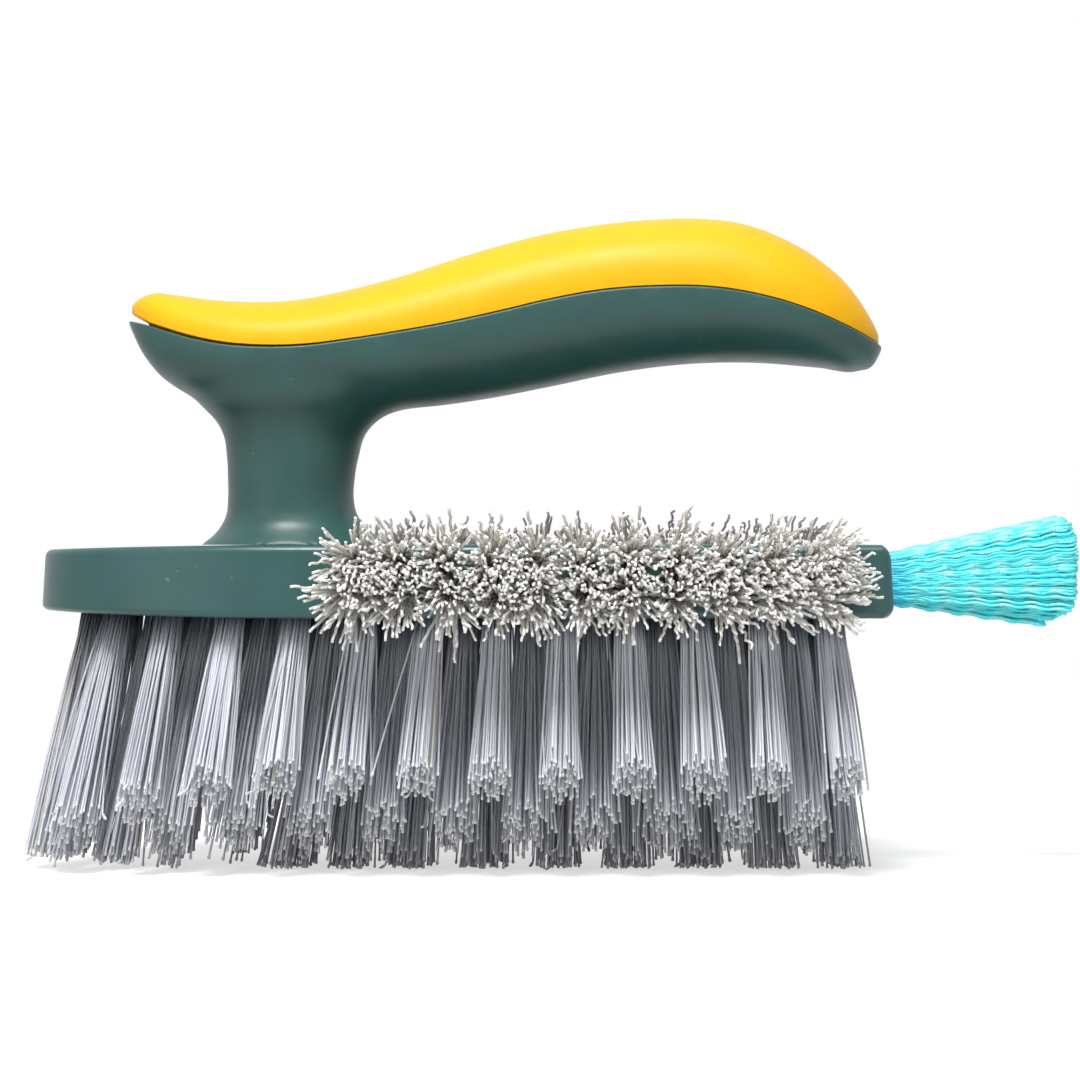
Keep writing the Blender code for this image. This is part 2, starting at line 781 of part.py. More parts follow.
def make_screw(block):
    """The screw from under the block up into the neck, and its stepped hole."""
    socket_floor = block_top - spigot_depth - fit_gap
    length = socket_floor + fit_gap + thread_depth - screw_seat
    screw = add_part("handle_screw", make_screw_mesh(length), steel)
    screw.location = (neck_place, 0, screw_seat)
    turn = screw.modifiers.new("turned", "SCREW")
    turn.steps = turn.render_steps = screw_sides
    turn.use_merge_vertices = True
    turn.merge_threshold = weld_distance
    turn.use_normal_calculate = True
    slot = bmesh.new()
    reach, half = screw_slot_length / 2, screw_slot_width / 2
    low = screw_seat - screw_head_height - overrun
    high = screw_seat - screw_head_height + screw_slot_depth
    add_box(slot, (neck_place - reach, -half, low), (neck_place + reach, half, high))
    combine(screw, add_cutter("screw_slot", mesh_of(slot, "screw_slot")), "DIFFERENCE")

    upright = Matrix.Translation((neck_place, 0, 0))
    bore = bmesh.new()
    top = socket_floor + overrun
    add_rod(bore, screw_radius + fit_gap, block_bottom, top, upright, bore_sides)
    combine(block, add_cutter("screw_bore", mesh_of(bore, "screw_bore")), "DIFFERENCE")
    seat = bmesh.new()
    low, high = block_bottom - overrun, screw_seat + fit_gap
    add_rod(seat, screw_head_radius + fit_gap, low, high, upright, screw_sides)
    combine(block, add_cutter("screw_counterbore", mesh_of(seat, "screw_counterbore")), "DIFFERENCE")


def centre_on_origin():
    """Moves the parts along X, so that the middle of their overall length is at X = 0."""
    bpy.context.view_layer.update()
    graph = bpy.context.evaluated_depsgraph_get()
    ends = []
    for made in parts.objects:
        evaluated = made.evaluated_get(graph)
        ends += [(made.matrix_world @ Vector(corner)).x for corner in evaluated.bound_box]
    origin.location.x = -(min(ends) + max(ends)) / 2


clear_scene()
parts = new_collection("scrub_brush")
cutters = new_collection("cutters")
origin = bpy.data.objects.new("brush_origin", None)
bpy.context.scene.collection.objects.link(origin)

green = new_material("green_plastic", (0.035, 0.085, 0.078), 0.38)
yellow = new_material("yellow_plastic", (1.0, 0.62, 0.01), 0.42)
steel = new_material("screw_steel", (0.55, 0.56, 0.58), 0.35, 1.0)
grey_bristle = new_material("grey_bristle", (0.22, 0.235, 0.30), 0.45)
pale_bristle = new_material("pale_bristle", (0.62, 0.62, 0.59), 0.5)
blue_bristle = new_material("blue_bristle", (0.03, 0.52, 0.88), 0.45)

brush_block = make_block()
make_tufts(brush_block)
for side_name, side_sign in (("left", 1), ("right", -1)):
    make_side_bristles(brush_block, side_name, side_sign)
make_crevice_bristles(brush_block)
make_screw(brush_block)
make_handle_shell(brush_block)
make_cover()
centre_on_origin()
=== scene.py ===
# Scrub brush: a raised yellow and green grip on a drilled block, with three kinds of bristle.
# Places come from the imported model, in millimetres. x is measured from the tip of the block's nose.
import math

import bmesh
import bpy
import numpy as np
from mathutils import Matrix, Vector


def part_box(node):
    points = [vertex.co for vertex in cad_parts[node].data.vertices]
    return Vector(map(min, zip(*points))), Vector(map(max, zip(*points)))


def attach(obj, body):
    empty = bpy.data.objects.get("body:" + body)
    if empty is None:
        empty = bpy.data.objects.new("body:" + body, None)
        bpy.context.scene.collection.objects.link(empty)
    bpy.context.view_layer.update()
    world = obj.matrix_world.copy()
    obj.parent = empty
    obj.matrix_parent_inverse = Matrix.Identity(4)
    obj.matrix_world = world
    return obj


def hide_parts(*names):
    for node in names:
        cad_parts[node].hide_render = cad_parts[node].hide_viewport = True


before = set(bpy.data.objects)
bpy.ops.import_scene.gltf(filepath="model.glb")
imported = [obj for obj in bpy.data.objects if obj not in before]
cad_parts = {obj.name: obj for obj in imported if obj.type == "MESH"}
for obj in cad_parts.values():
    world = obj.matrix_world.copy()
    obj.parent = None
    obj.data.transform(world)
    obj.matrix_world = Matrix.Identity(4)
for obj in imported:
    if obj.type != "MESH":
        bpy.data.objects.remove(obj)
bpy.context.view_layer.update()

mm = 0.001
hair = 0.02  # a clearance that keeps faces from falling together


def nodeBox(name):  # the node's lowest and highest corner, in millimetres
    return np.array([list(corner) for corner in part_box(name)]) / mm


blockLow, blockHigh = nodeBox("brush_block")
noseX, halfWidth = blockLow[0], blockHigh[1]
blockLength = blockHigh[0] - noseX
blockBottom, blockTop = blockLow[2], blockHigh[2]


# Mesh helpers

def worldPoints(points):
    return (np.asarray(points, float) + (noseX, 0, 0)) * mm


def newObject(name, mesh):
    made = bpy.data.objects.new(name, mesh)
    bpy.context.scene.collection.objects.link(made)
    return made


def meshFromFaces(name, points, faces):
    mesh = bpy.data.meshes.new(name)
    mesh.from_pydata(worldPoints(points).tolist(), [], faces)
    mesh.validate()
    return mesh


def dress(made, material, slotName, *nodes):  # the piece's finish, and the nodes that it stands for
    made.data.materials.clear()
    made.data.materials.append(material)
    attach(made, "root")
    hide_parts(*nodes)


def settle(made):  # applies the modifiers
    graph = bpy.context.evaluated_depsgraph_get()
    mesh = bpy.data.meshes.new_from_object(made.evaluated_get(graph))
    made.modifiers.clear()
    old, made.data = made.data, mesh
    name = old.name
    bpy.data.meshes.remove(old)
    mesh.name = name


def loftFaces(rings, count):  # faces through rings of count points each, closed at both ends
    around = np.arange(count)
    after = (around + 1) % count
    faces = []
    for i in range(rings - 1):
        low, high = i * count, (i + 1) * count
        faces += np.stack([low + around, low + after, high + after, high + around], axis=1).tolist()
    faces.append(around[::-1].tolist())
    faces.append(((rings - 1) * count + around).tolist())
    return faces


def faceOutward(mesh):
    bm = bmesh.new()
    bm.from_mesh(mesh)
    bmesh.ops.recalc_face_normals(bm, faces=bm.faces)
    bm.to_mesh(mesh)
    bm.free()
    return mesh


def loftMesh(name, rings):
    rings = np.array(rings)
    return faceOutward(meshFromFaces(name, rings.reshape(-1, 3), loftFaces(*rings.shape[:2])))


def shadeSmooth(made, sharpAngle):  # smooth, but for edges sharper than this
    made.data.shade_smooth()
    made.data.set_sharp_from_angle(angle=sharpAngle)


def cutWith(made, cutterMesh):  # takes the cutter out of the piece
    cutter = newObject("cutter", cutterMesh)
    boolean = made.modifiers.new("cut", "BOOLEAN")
    boolean.operation = "DIFFERENCE"
    boolean.object = cutter
    settle(made)
    bpy.data.objects.remove(cutter, do_unlink=True)
    bpy.data.meshes.remove(cutterMesh)


def smoothCurve(table, at):  # cubic through a table of (place, value) pairs
    places, values = np.array(table).T
    slopes = np.gradient(values, places)
    i = np.clip(np.searchsorted(places, at) - 1, 0, len(places) - 2)
    step = places[i + 1] - places[i]
    t = np.clip((at - places[i]) / step, 0, 1)
    rise = values[i + 1] - values[i]
    bend = slopes[i] * step * (1 - t) - slopes[i + 1] * step * t + rise * (2 * t - 1)
    return values[i] + rise * t + t * (1 - t) * bend


def squarer(wave, power):  # the sine or cosine of a round that is squarer than a circle
    return np.sign(wave) * abs(wave) ** (2 / power)


def sunflower(count, start=0.0):  # directions, and shares of the area inside, that fill a disc evenly
    turns = np.arange(count) * math.pi * (3 - math.sqrt(5)) + start
    return np.stack([np.cos(turns), np.sin(turns)], axis=1), (np.arange(count) + 0.5) / count


# Shader helpers

def newMaterial(name):
    material = bpy.data.materials.new(name)
    material.use_nodes = True
    return material, material.node_tree, material.node_tree.nodes["Principled BSDF"]


def connect(tree, node, links):  # each socket takes a link or a value
    for socket, value in links.items():
        if isinstance(value, bpy.types.NodeSocket):
            tree.links.new(value, node.inputs[socket])
        else:
            node.inputs[socket].default_value = value
    return node


def addNode(tree, kind, links=None, **settings):
    node = tree.nodes.new(kind)
    for key, value in settings.items():
        setattr(node, key, value)
    return connect(tree, node, links or {})


def newGroup(name, inputs, outputs):  # sockets by name, each with its first value
    tree = bpy.data.node_groups.new(name, "ShaderNodeTree")
    for way, sockets in (("INPUT", inputs), ("OUTPUT", outputs)):
        for label, value in sockets.items():
            kind = "NodeSocketColor" if isinstance(value, tuple) else "NodeSocketFloat"
            tree.interface.new_socket(label, in_out=way, socket_type=kind).default_value = value
    return tree, tree.nodes.new("NodeGroupInput").outputs, tree.nodes.new("NodeGroupOutput")


def useGroup(tree, group, links):
    return addNode(tree, "ShaderNodeGroup", links, node_tree=group).outputs


def mathNode(tree, operation, first, second=0.0, third=0.0):
    links = {0: first, 1: second, 2: third}
    return addNode(tree, "ShaderNodeMath", links, operation=operation).outputs[0]


def mixColours(tree, factor, first, second, blend="MIX"):
    links = {0: factor, 6: first, 7: second}
    return addNode(tree, "ShaderNodeMix", links, data_type="RGBA", blend_type=blend).outputs[2]


def dimmed(tree, colour, shade):  # the colour times a shade
    even = addNode(tree, "ShaderNodeCombineColor", {0: shade, 1: shade, 2: shade}).outputs[0]
    return mixColours(tree, 1.0, colour, even, "MULTIPLY")


def mixShaders(tree, factor, first, second):
    links = {0: factor, 1: first.outputs[0], 2: second.outputs[0]}
    return addNode(tree, "ShaderNodeMixShader", links).outputs[0]


def noise(tree, place, scale, detail=2.0, roughness=0.5):
    links = {"Vector": place, "Scale": scale, "Detail": detail, "Roughness": roughness}
    return addNode(tree, "ShaderNodeTexNoise", links).outputs[0]


def remap(tree, value, low, high, toLow=0.0, toHigh=1.0):
    links = {0: value, 1: low, 2: high, 3: toLow, 4: toHigh}
    return addNode(tree, "ShaderNodeMapRange", links, interpolation_type="SMOOTHSTEP").outputs[0]


def rgb(red, green, blue):  # a colour as it is seen, from 0 to 255
    parts = [part / 255 for part in (red, green, blue)]
    return (*[part / 12.92 if part <= 0.04045 else ((part + 0.055) / 1.055) ** 2.4 for part in parts], 1)


white, grey = (1, 1, 1, 1), (0.5, 0.5, 0.5, 1)
# patterns are (scale, detail, roughness)
skinLook = {
    "cloud": (130, 4, 0.6), "cloudEdges": (0.3, 0.7), "cloudRoughness": 0.04, "grain": (2600, 2, 0.6),
    "fleck": (760, 1, 0.4), "fleckEdges": (0.76, 0.81), "rubbed": (0.75, 0.8, 0.78, 1), "rubbedShare": 0.55,
    "rubRoughness": 0.25,
}
toneLook = {"paleShare": 0.6, "stainedBelow": 0.005, "stainShare": 0.7}


# Moulded skin: cloudy tone, fine spark grain and a few rubbed specks
def makeMouldedSkin(look):
    tree, given, out = newGroup(
        "mouldedSkin",
        {"Color": grey, "Cloud": 0.08, "Rub": 0.3, "Roughness": 0.4, "Grain": 0.3},
        {"Color": grey, "Roughness": 0.4, "Height": 0.0},
    )
    place = addNode(tree, "ShaderNodeTexCoord").outputs["Object"]
    cloud = remap(tree, noise(tree, place, *look["cloud"]), *look["cloudEdges"], -1.0, 1.0)
    fleck = remap(tree, noise(tree, place, *look["fleck"]), *look["fleckEdges"])
    lit = dimmed(tree, given["Color"], mathNode(tree, "MULTIPLY_ADD", cloud, given["Cloud"], 1.0))
    pale = mixColours(tree, look["rubbedShare"], lit, look["rubbed"])
    rubbed = mathNode(tree, "MULTIPLY", fleck, given["Rub"])
    spread = mathNode(tree, "MULTIPLY_ADD", cloud, look["cloudRoughness"], given["Roughness"])
    connect(tree, out, {
        "Color": mixColours(tree, rubbed, lit, pale),
        "Roughness": mathNode(tree, "MULTIPLY_ADD", rubbed, look["rubRoughness"], spread),
        "Height": mathNode(tree, "MULTIPLY", noise(tree, place, *look["grain"]), given["Grain"]),
    })
    return tree


# Strand tone: a filament's colour from its root to its cut end, each a little unlike its neighbour. The
# darker root is painted shade, the paler tip and cut end are painted highlight, and the crest mask lays
# painted highlight on crimp crests and painted shade over the block.
def makeStrandTone(look):
    tree, given, out = newGroup(
        "strandTone",
        {"Along": 0.5, "Tone": 0.5, "Cut": 0.0, "Crest": 0.0, "Shaded Root": grey, "Shaft": grey, "Lit Tip": grey,
         "Lit Cut Color": grey, "Pale": grey, "Stain": grey, "Root Shade End": 0.2, "Lit Tip Start": 0.9, "Spread": 0.2,
         "Pale From": 0.95, "Painted Light Share": 0.0},
        {"Color": grey},
    )
    outOfRootShade = remap(tree, given["Along"], 0.0, given["Root Shade End"])
    # painted highlight: the last part of each filament and its cut end are paler
    towardLitTip = remap(tree, given["Along"], given["Lit Tip Start"], 1.0)
    shaft = mixColours(tree, outOfRootShade, given["Shaded Root"], given["Shaft"])
    pale = mathNode(tree, "GREATER_THAN", given["Tone"], given["Pale From"])
    pale = mathNode(tree, "MULTIPLY", pale, look["paleShare"])
    # painted light: the crest mask lays the pale colour on, as painted highlight on crimp crests and as
    # painted shade over the block
    crest = mathNode(tree, "MULTIPLY", given["Crest"], given["Painted Light Share"])
    shaft = mixColours(tree, mathNode(tree, "MAXIMUM", pale, crest), shaft, given["Pale"])
    stained = mathNode(tree, "LESS_THAN", given["Tone"], look["stainedBelow"])
    shaft = mixColours(tree, mathNode(tree, "MULTIPLY", stained, look["stainShare"]), shaft, given["Stain"])
    unlike = mathNode(tree, "SUBTRACT", given["Tone"], 0.5)
    shaft = dimmed(tree, shaft, mathNode(tree, "MULTIPLY_ADD", unlike, given["Spread"], 1.0))
    shaft = mixColours(tree, towardLitTip, shaft, given["Lit Tip"])
    connect(tree, out, {"Color": mixColours(tree, given["Cut"], shaft, given["Lit Cut Color"])})
    return tree


mouldedSkin = makeMouldedSkin(skinLook)
strandTone = makeStrandTone(toneLook)


def plasticMaterial(name, look):
    material, tree, shader = newMaterial(name)
    skin = useGroup(tree, mouldedSkin, {
        "Color": look["colour"], "Cloud": look["cloud"], "Rub": look["rub"],
        "Roughness": look["roughness"], "Grain": look["grain"],
    })
    bump = addNode(tree, "ShaderNodeBump", {"Height": skin["Height"], "Distance": look["grainDepth"] * mm})
    connect(tree, shader, {
        "Base Color": skin["Color"], "Roughness": skin["Roughness"], "Normal": bump.outputs[0],
        "Specular IOR Level": look["specular"],
    })
    return material


def strandMaterial(name, look):
    material, tree, shader = newMaterial(name)
    reads = {}
    for label in ("Along", "Tone", "Cut", "Crest"):
        reads[label] = addNode(tree, "ShaderNodeAttribute", attribute_name=label.lower()).outputs["Fac"]
    tone = useGroup(tree, strandTone, reads | {
        "Shaded Root": look["root"], "Shaft": look["shaft"], "Lit Tip": look["tip"], "Lit Cut Color": look["litCutEnd"],
        "Pale": look["pale"], "Stain": look["stain"], "Root Shade End": look["rootShadeEnd"],
        "Lit Tip Start": look["tipStart"], "Spread": look["unlike"], "Pale From": look["paleFrom"],
        "Painted Light Share": look["paintedLightShare"],
    })
    connect(tree, shader, {
        "Base Color": tone["Color"], "Roughness": look["roughness"], "Subsurface Weight": look["glow"],
        "Subsurface Radius": (1, 1, 1), "Subsurface Scale": look["glowDepth"] * mm,
    })
    return material


# Camera and studio

cameraLook = {
    "distance": 600.0, "frameWidth": 183.6, "aimX": 84.5, "aimZ": 55.8, "sensor": 36, "nearest": 10,
    "farthest": 50000,
}
studioLook = {
    "world": 0.17, "floorColour": 0.72, "floorGlow": 0.6, "floorRoughness": 0.9, "floorSpecular": 0.1,
    "floorSize": 12000, "clearFrom": 80.0, "clearTo": 300.0, "lampAim": (0, 0, 50),
    "key": {"place": (-70, -350, 670), "size": 260, "watts": 6.7},
    "fill": {"place": (-600, -600, 260), "size": 500, "watts": 0.6},
    "top": {"place": (0, 150, 900), "size": 700, "watts": 0.6},
}


def makeCamera(look):
    camera = bpy.data.cameras.new("photoCamera")
    camera.sensor_width = look["sensor"]
    camera.lens = look["sensor"] * look["distance"] / look["frameWidth"]
    camera.clip_start, camera.clip_end = look["nearest"] * mm, look["farthest"] * mm
    made = newObject("photoCamera", camera)
    made.location = worldPoints((look["aimX"], -look["distance"], look["aimZ"]))
    made.rotation_euler = (math.pi / 2, 0, 0)
    bpy.context.scene.camera = made


def makeLamp(name, look, aim):
    lamp = bpy.data.lights.new(name, "AREA")
    lamp.shape = "DISK"
    lamp.size = look["size"] * mm
    lamp.energy = look["watts"]
    made = newObject(name, lamp)
    made.location = Vector(look["place"]) * mm
    made.rotation_euler = (Vector(aim) * mm - made.location).to_track_quat("-Z", "Y").to_euler()


def seenStraight(tree):  # 1 where a camera, mirror or glass ray looks at it
    path = addNode(tree, "ShaderNodeLightPath").outputs
    seen = mathNode(tree, "MAXIMUM", path["Is Camera Ray"], path["Is Glossy Ray"])
    return mathNode(tree, "MAXIMUM", seen, path["Is Transmission Ray"])


def makeWorld(look):
    world = bpy.data.worlds.new("studio")
    bpy.context.scene.world = world
    world.use_nodes = True
    tree = world.node_tree
    soft = connect(tree, tree.nodes["Background"], {"Color": white, "Strength": look["world"]})
    backdrop = addNode(tree, "ShaderNodeBackground", {"Color": white, "Strength": 1.0})
    connect(tree, tree.nodes["World Output"], {0: mixShaders(tree, seenStraight(tree), soft, backdrop)})


def makeFloor(look):  # keeps the object's shadow near it, and is plain white farther off
    bpy.ops.mesh.primitive_plane_add(size=look["floorSize"] * mm)
    floor = bpy.context.object
    floor.name = "paleFloor"
    material, tree, shader = newMaterial("paleFloor")
    seen = seenStraight(tree)
    connect(tree, shader, {
        "Base Color": (look["floorColour"],) * 3 + (1,), "Roughness": look["floorRoughness"],
        "Specular IOR Level": look["floorSpecular"], "Emission Color": white,
        "Emission Strength": mathNode(tree, "MULTIPLY", seen, look["floorGlow"]),
    })
    place = addNode(tree, "ShaderNodeTexCoord").outputs["Object"]
    reach = addNode(tree, "ShaderNodeVectorMath", {0: place}, operation="LENGTH").outputs["Value"]
    away = remap(tree, reach, look["clearFrom"] * mm, look["clearTo"] * mm)
    plain = addNode(tree, "ShaderNodeEmission", {"Color": white, "Strength": 1.0})
    mixed = mixShaders(tree, mathNode(tree, "MULTIPLY", away, seen), shader, plain)
    connect(tree, tree.nodes["Material Output"], {0: mixed})
    floor.data.materials.append(material)


makeCamera(cameraLook)
makeWorld(studioLook)
for name in ("key", "fill", "top"):
    makeLamp(name + "Lamp", studioLook[name], studioLook["lampAim"])
makeFloor(studioLook)
print("camera and studio are set")


# Block: a drafted moulding with a thin toe, drilled for its tufts and its screw

blockLook = {
    "noseLength": 49.0, "noseSteps": 96, "cornerRadius": 2.2, "cornerSteps": 8,
    "draft": math.radians(3.5), "edgeRadius": 1.2, "rearEdgeRadius": 2.4, "rearFrom": 0.2, "filletSteps": 6,
    "filletMost": 0.85, "toeLength": 46.0, "toeRise": 1.0, "toeDrop": 0.8, "sharpAngle": math.radians(32),
    "tuftHole": {"radius": 2.3, "depth": 6.0, "sides": 20},
    "screwHole": {"radius": 3.9, "depth": 3.5, "sides": 48}, "overrun": 2.0,
    "colour": rgb(38, 80, 78), "cloud": 0.06, "rub": 0.15, "roughness": 0.34, "specular": 0.5, "grain": 0.5,
    "grainDepth": 0.02,
}


def blockOutline(look):
    corner = blockLength - look["cornerRadius"]
    points = []
    for angle in np.linspace(-math.pi / 2, math.pi / 2, look["noseSteps"] + 1):
        points.append((look["noseLength"] * (1 - math.cos(angle)), -halfWidth * math.sin(angle)))
    for side, first in ((-1, -math.pi / 2), (1, 0)):
        for angle in np.linspace(first, first + math.pi / 2, look["cornerSteps"] + 1):
            across = side * (halfWidth - look["cornerRadius"]) + look["cornerRadius"] * math.sin(angle)
            points.append((corner + look["cornerRadius"] * math.cos(angle), across))
    return np.array(points)


def makeBlock(look):
    outline = blockOutline(look)
    run = np.roll(outline, -1, axis=0) - np.roll(outline, 1, axis=0)
    outward = np.stack([run[:, 1], -run[:, 0]], axis=1) / np.linalg.norm(run, axis=1)[:, None]
    x = outline[:, 0]
    toe = np.clip(1 - x / look["toeLength"], 0, 1) ** 2
    bottom, top = blockBottom + look["toeRise"] * toe, blockTop - look["toeDrop"] * toe
    rear = np.clip((outward[:, 0] - look["rearFrom"]) / (1 - look["rearFrom"]), 0, 1)
    rear *= x > look["noseLength"]
    radius = look["edgeRadius"] + (look["rearEdgeRadius"] - look["edgeRadius"]) * rear
    flat = np.minimum(radius, look["filletMost"] * look["cornerRadius"])
    rings = []

    def addRing(inset, height):
        draft = (height - bottom) * math.tan(look["draft"])
        moved = outline - outward * (inset + draft)[:, None]
        rings.append(np.column_stack([moved, height]))

    turns = np.linspace(0, math.pi / 2, look["filletSteps"] + 1)
    for turn in turns:
        addRing(flat * (1 - math.sin(turn)), bottom + radius * (1 - math.cos(turn)))
    for turn in turns[::-1]:
        addRing(flat * (1 - math.sin(turn)), top - radius * (1 - math.cos(turn)))
    count = len(outline)
    faces = loftFaces(len(rings), count)[:-2]  # top and bottom are closed by strips across instead
    half = look["noseSteps"] // 2
    last = (len(rings) - 1) * count
    pairs = [(half - i, half + i) for i in range(half + 1)]
    for step in range(look["cornerSteps"] + 1):  # on along both sides and round the rear corners
        pairs.append((count - 1 - step, look["noseSteps"] + 1 + step))
    for (a, b), (c, d) in zip(pairs, pairs[1:]):
        ring = [a, c, d, b] if a != b else [a, c, d]
        faces.append(ring)
        faces.append([last + i for i in reversed(ring)])
    return newObject("blockBody", faceOutward(meshFromFaces("blockBody", np.concatenate(rings), faces)))


def tuftPlace(node, near=1.0):  # where the tuft leaves the block
    points = np.array([vertex.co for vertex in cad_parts[node].data.vertices]) / mm
    rim = points[abs(points[:, 2] - blockBottom) < near]
    return rim[:, 0].mean() - noseX, rim[:, 1].mean()


# The tufts lean out from the middle of the block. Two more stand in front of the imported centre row,
# given by how far along the block each is and how far its tips lean on.
fanLook = {"centre": 95.0, "along": 0.1, "across": 0.32, "leadTufts": ((48.7, -2.2), (56.1, 0.0))}


def fanReach(place):  # how far a tuft's tips move out over its full length
    return np.array([(place[0] - fanLook["centre"]) * fanLook["along"], place[1] * fanLook["across"]])


def addHole(bm, place, lean, hole, overrun):  # a rod up into the block, leaning in as it rises
    axis = Vector((-lean[0], -lean[1], 1)).normalized()
    stood = Vector((0, 0, 1)).rotation_difference(axis).to_matrix().to_4x4()
    stood.translation = Vector(worldPoints((*place, blockBottom))) + axis * (hole["depth"] - overrun) / 2 * mm
    radius, depth = hole["radius"] * mm, (hole["depth"] + overrun) * mm
    bmesh.ops.create_cone(
        bm, cap_ends=True, segments=hole["sides"], radius1=radius, radius2=radius, depth=depth, matrix=stood,
    )


def drillBlock(made, look, places):
    tufts, screws = bmesh.new(), bmesh.new()
    for place in places:
        addHole(tufts, place, fanReach(place) / blockBottom, look["tuftHole"], look["overrun"])
    low, high = nodeBox("handle_screw")
    addHole(screws, ((low[0] + high[0]) / 2 - noseX, 0), (0, 0), look["screwHole"], look["overrun"])
    for bm in (tufts, screws):
        holes = bpy.data.meshes.new("holes")
        bm.to_mesh(holes)
        bm.free()
        cutWith(made, holes)


tuftNodes = sorted(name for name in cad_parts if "_tuft_" in name)
tuftPlaces = {name: tuftPlace(name) for name in tuftNodes}
leadPlaces = [(x, 0) for x, _ in fanLook["leadTufts"]]
blockBody = makeBlock(blockLook)
drillBlock(blockBody, blockLook, [*tuftPlaces.values(), *leadPlaces])
shadeSmooth(blockBody, blockLook["sharpAngle"])
weighted = blockBody.modifiers.new("evenNormals", "WEIGHTED_NORMAL")
weighted.keep_sharp = True
dress(blockBody, plasticMaterial("blockPlastic", blockLook), "block", "brush_block")
print("block is drilled, with", len(blockBody.data.polygons), "faces")


# Handle: a hollow arm on one neck, run together by a fine remesh

handleLook = {
    "noseRound": 30.0, "heelRound": 20.0, "endSpare": 0.3, "stations": 150, "archPoints": 49, "armPower": 2.4,
    "topSpare": 2.5, "neckX": 42.25, "neckLength": 21.5, "neckWidth": 20.2, "neckPower": 2.1, "neckRings": 40,
    "neckPoints": 72, "voxel": 0.42, "polish": (0.5, -0.53), "polishFrom": 0.5, "polishPasses": 6,
    "blend": (0.6, -0.615), "blendReach": (1.4, 2.8), "blendPasses": 90, "footKeep": 5.0, "footFade": 5.0,
    "fillShare": 0.6, "fillFrom": 70.0, "fillFade": 6.0, "fillRounds": 30, "fillPasses": 20,
    "wall": 2.2, "recess": 3.0, "recessLeast": 0.5, "recessRamp": 2.0, "recessDraft": 0.98,
    "clearAhead": 3.0, "clearBeside": 4.0, "clearAbove": 12.0,
    "rimRound": 0.5, "rimMost": 0.4, "rimDrop": 0.35, "rimSteps": 3, "sharpAngle": math.radians(40),
    "colour": rgb(44, 81, 77), "cloud": 0.08, "rub": 0.15, "roughness": 0.4, "specular": 0.42, "grain": 0.5,
    "grainDepth": 0.02,
}
# Side view: (share of the length from the front, share of the rise over the block)
crownShares = (
    (0.0, 0.726), (0.012, 0.752), (0.033, 0.772), (0.06, 0.767), (0.088, 0.758),
    (0.147, 0.746), (0.227, 0.752), (0.28, 0.775), (0.36, 0.822), (0.426, 0.871),
    (0.493, 0.918), (0.559, 0.956), (0.626, 0.982), (0.692, 0.997), (0.759, 1.0),
    (0.812, 0.986), (0.868, 0.94), (0.918, 0.871), (0.958, 0.786), (0.985, 0.694),
    (1.0, 0.628),
)
lipShares = (
    (0.0, 0.687), (0.029, 0.669), (0.063, 0.643), (0.093, 0.623), (0.13, 0.606),
    (0.185, 0.596), (0.236, 0.599), (0.3, 0.618), (0.366, 0.642), (0.43, 0.669),
    (0.495, 0.702), (0.559, 0.737), (0.624, 0.764), (0.7, 0.777), (0.77, 0.774),
    (0.83, 0.752), (0.881, 0.72), (0.948, 0.661), (1.0, 0.607),
)
bellyShares = (
    (0.0, 0.679), (0.0055, 0.65), (0.015, 0.603), (0.027, 0.56), (0.041, 0.522),
    (0.059, 0.489), (0.08, 0.46), (0.11, 0.437), (0.15, 0.423), (0.214, 0.413),
    (0.315, 0.413), (0.394, 0.424), (0.472, 0.448), (0.554, 0.484), (0.653, 0.531),
    (0.746, 0.557), (0.839, 0.56), (0.919, 0.545), (0.97, 0.535), (0.99, 0.555),
    (1.0, 0.598),
)
# Neck: (share of the height up to the arm, shares of half its size to the front, the rear and the side)
neckShares = (
    (0.0, 1.42, 1.51, 1.41), (0.06, 1.25, 1.36, 1.27), (0.13, 1.12, 1.18, 1.13),
    (0.215, 1.03, 1.05, 1.05), (0.34, 1.0, 0.985, 1.01), (0.49, 1.0, 1.0, 1.0),
    (0.67, 1.02, 1.07, 1.01), (0.86, 1.1, 1.22, 1.07), (0.95, 1.24, 1.42, 1.15),
    (1.045, 1.44, 1.8, 1.26), (1.14, 1.58, 2.2, 1.34), (1.25, 1.64, 2.4, 1.37),
)
handleLow, handleHigh = nodeBox("handle_shell")
handleFront = handleLow[0] - noseX - handleLook["endSpare"]  # smoothing takes the spare off again
handleRear = handleHigh[0] - noseX + handleLook["endSpare"]
handleLength = handleRear - handleFront
handleRise = nodeBox("grip_cover")[1][2] - blockTop


def heightAt(shares, x):
    return blockTop + handleRise * smoothCurve(shares, (x - handleFront) / handleLength)


def halfWidthAt(x, inset):
    look = handleLook
    nose = np.clip((x - handleFront - inset) / (look["noseRound"] - inset), 0, 1)
    heel = np.clip((handleRear - inset - x) / (look["heelRound"] - inset), 0, 1)
    full = handleHigh[1] - inset
    return full * np.sqrt(1 - (1 - nose) ** 2) * np.sqrt(1 - (1 - heel) ** 2)


def stationsOf(inset, count):
    steps = (1 - np.cos(np.linspace(0, math.pi, count))) / 2
    first, last = handleFront + inset + hair, handleRear - inset - hair
    return first + (last - first) * steps


def archRing(x, half, base, peak, power, count):  # over the arch from +Y to -Y
    angles = np.linspace(0, math.pi, count)
    across = squarer(np.cos(angles), power) * half
    up = squarer(np.sin(angles).clip(0), power)
    return np.column_stack([np.full(count, x), across, base + (peak - base) * up])


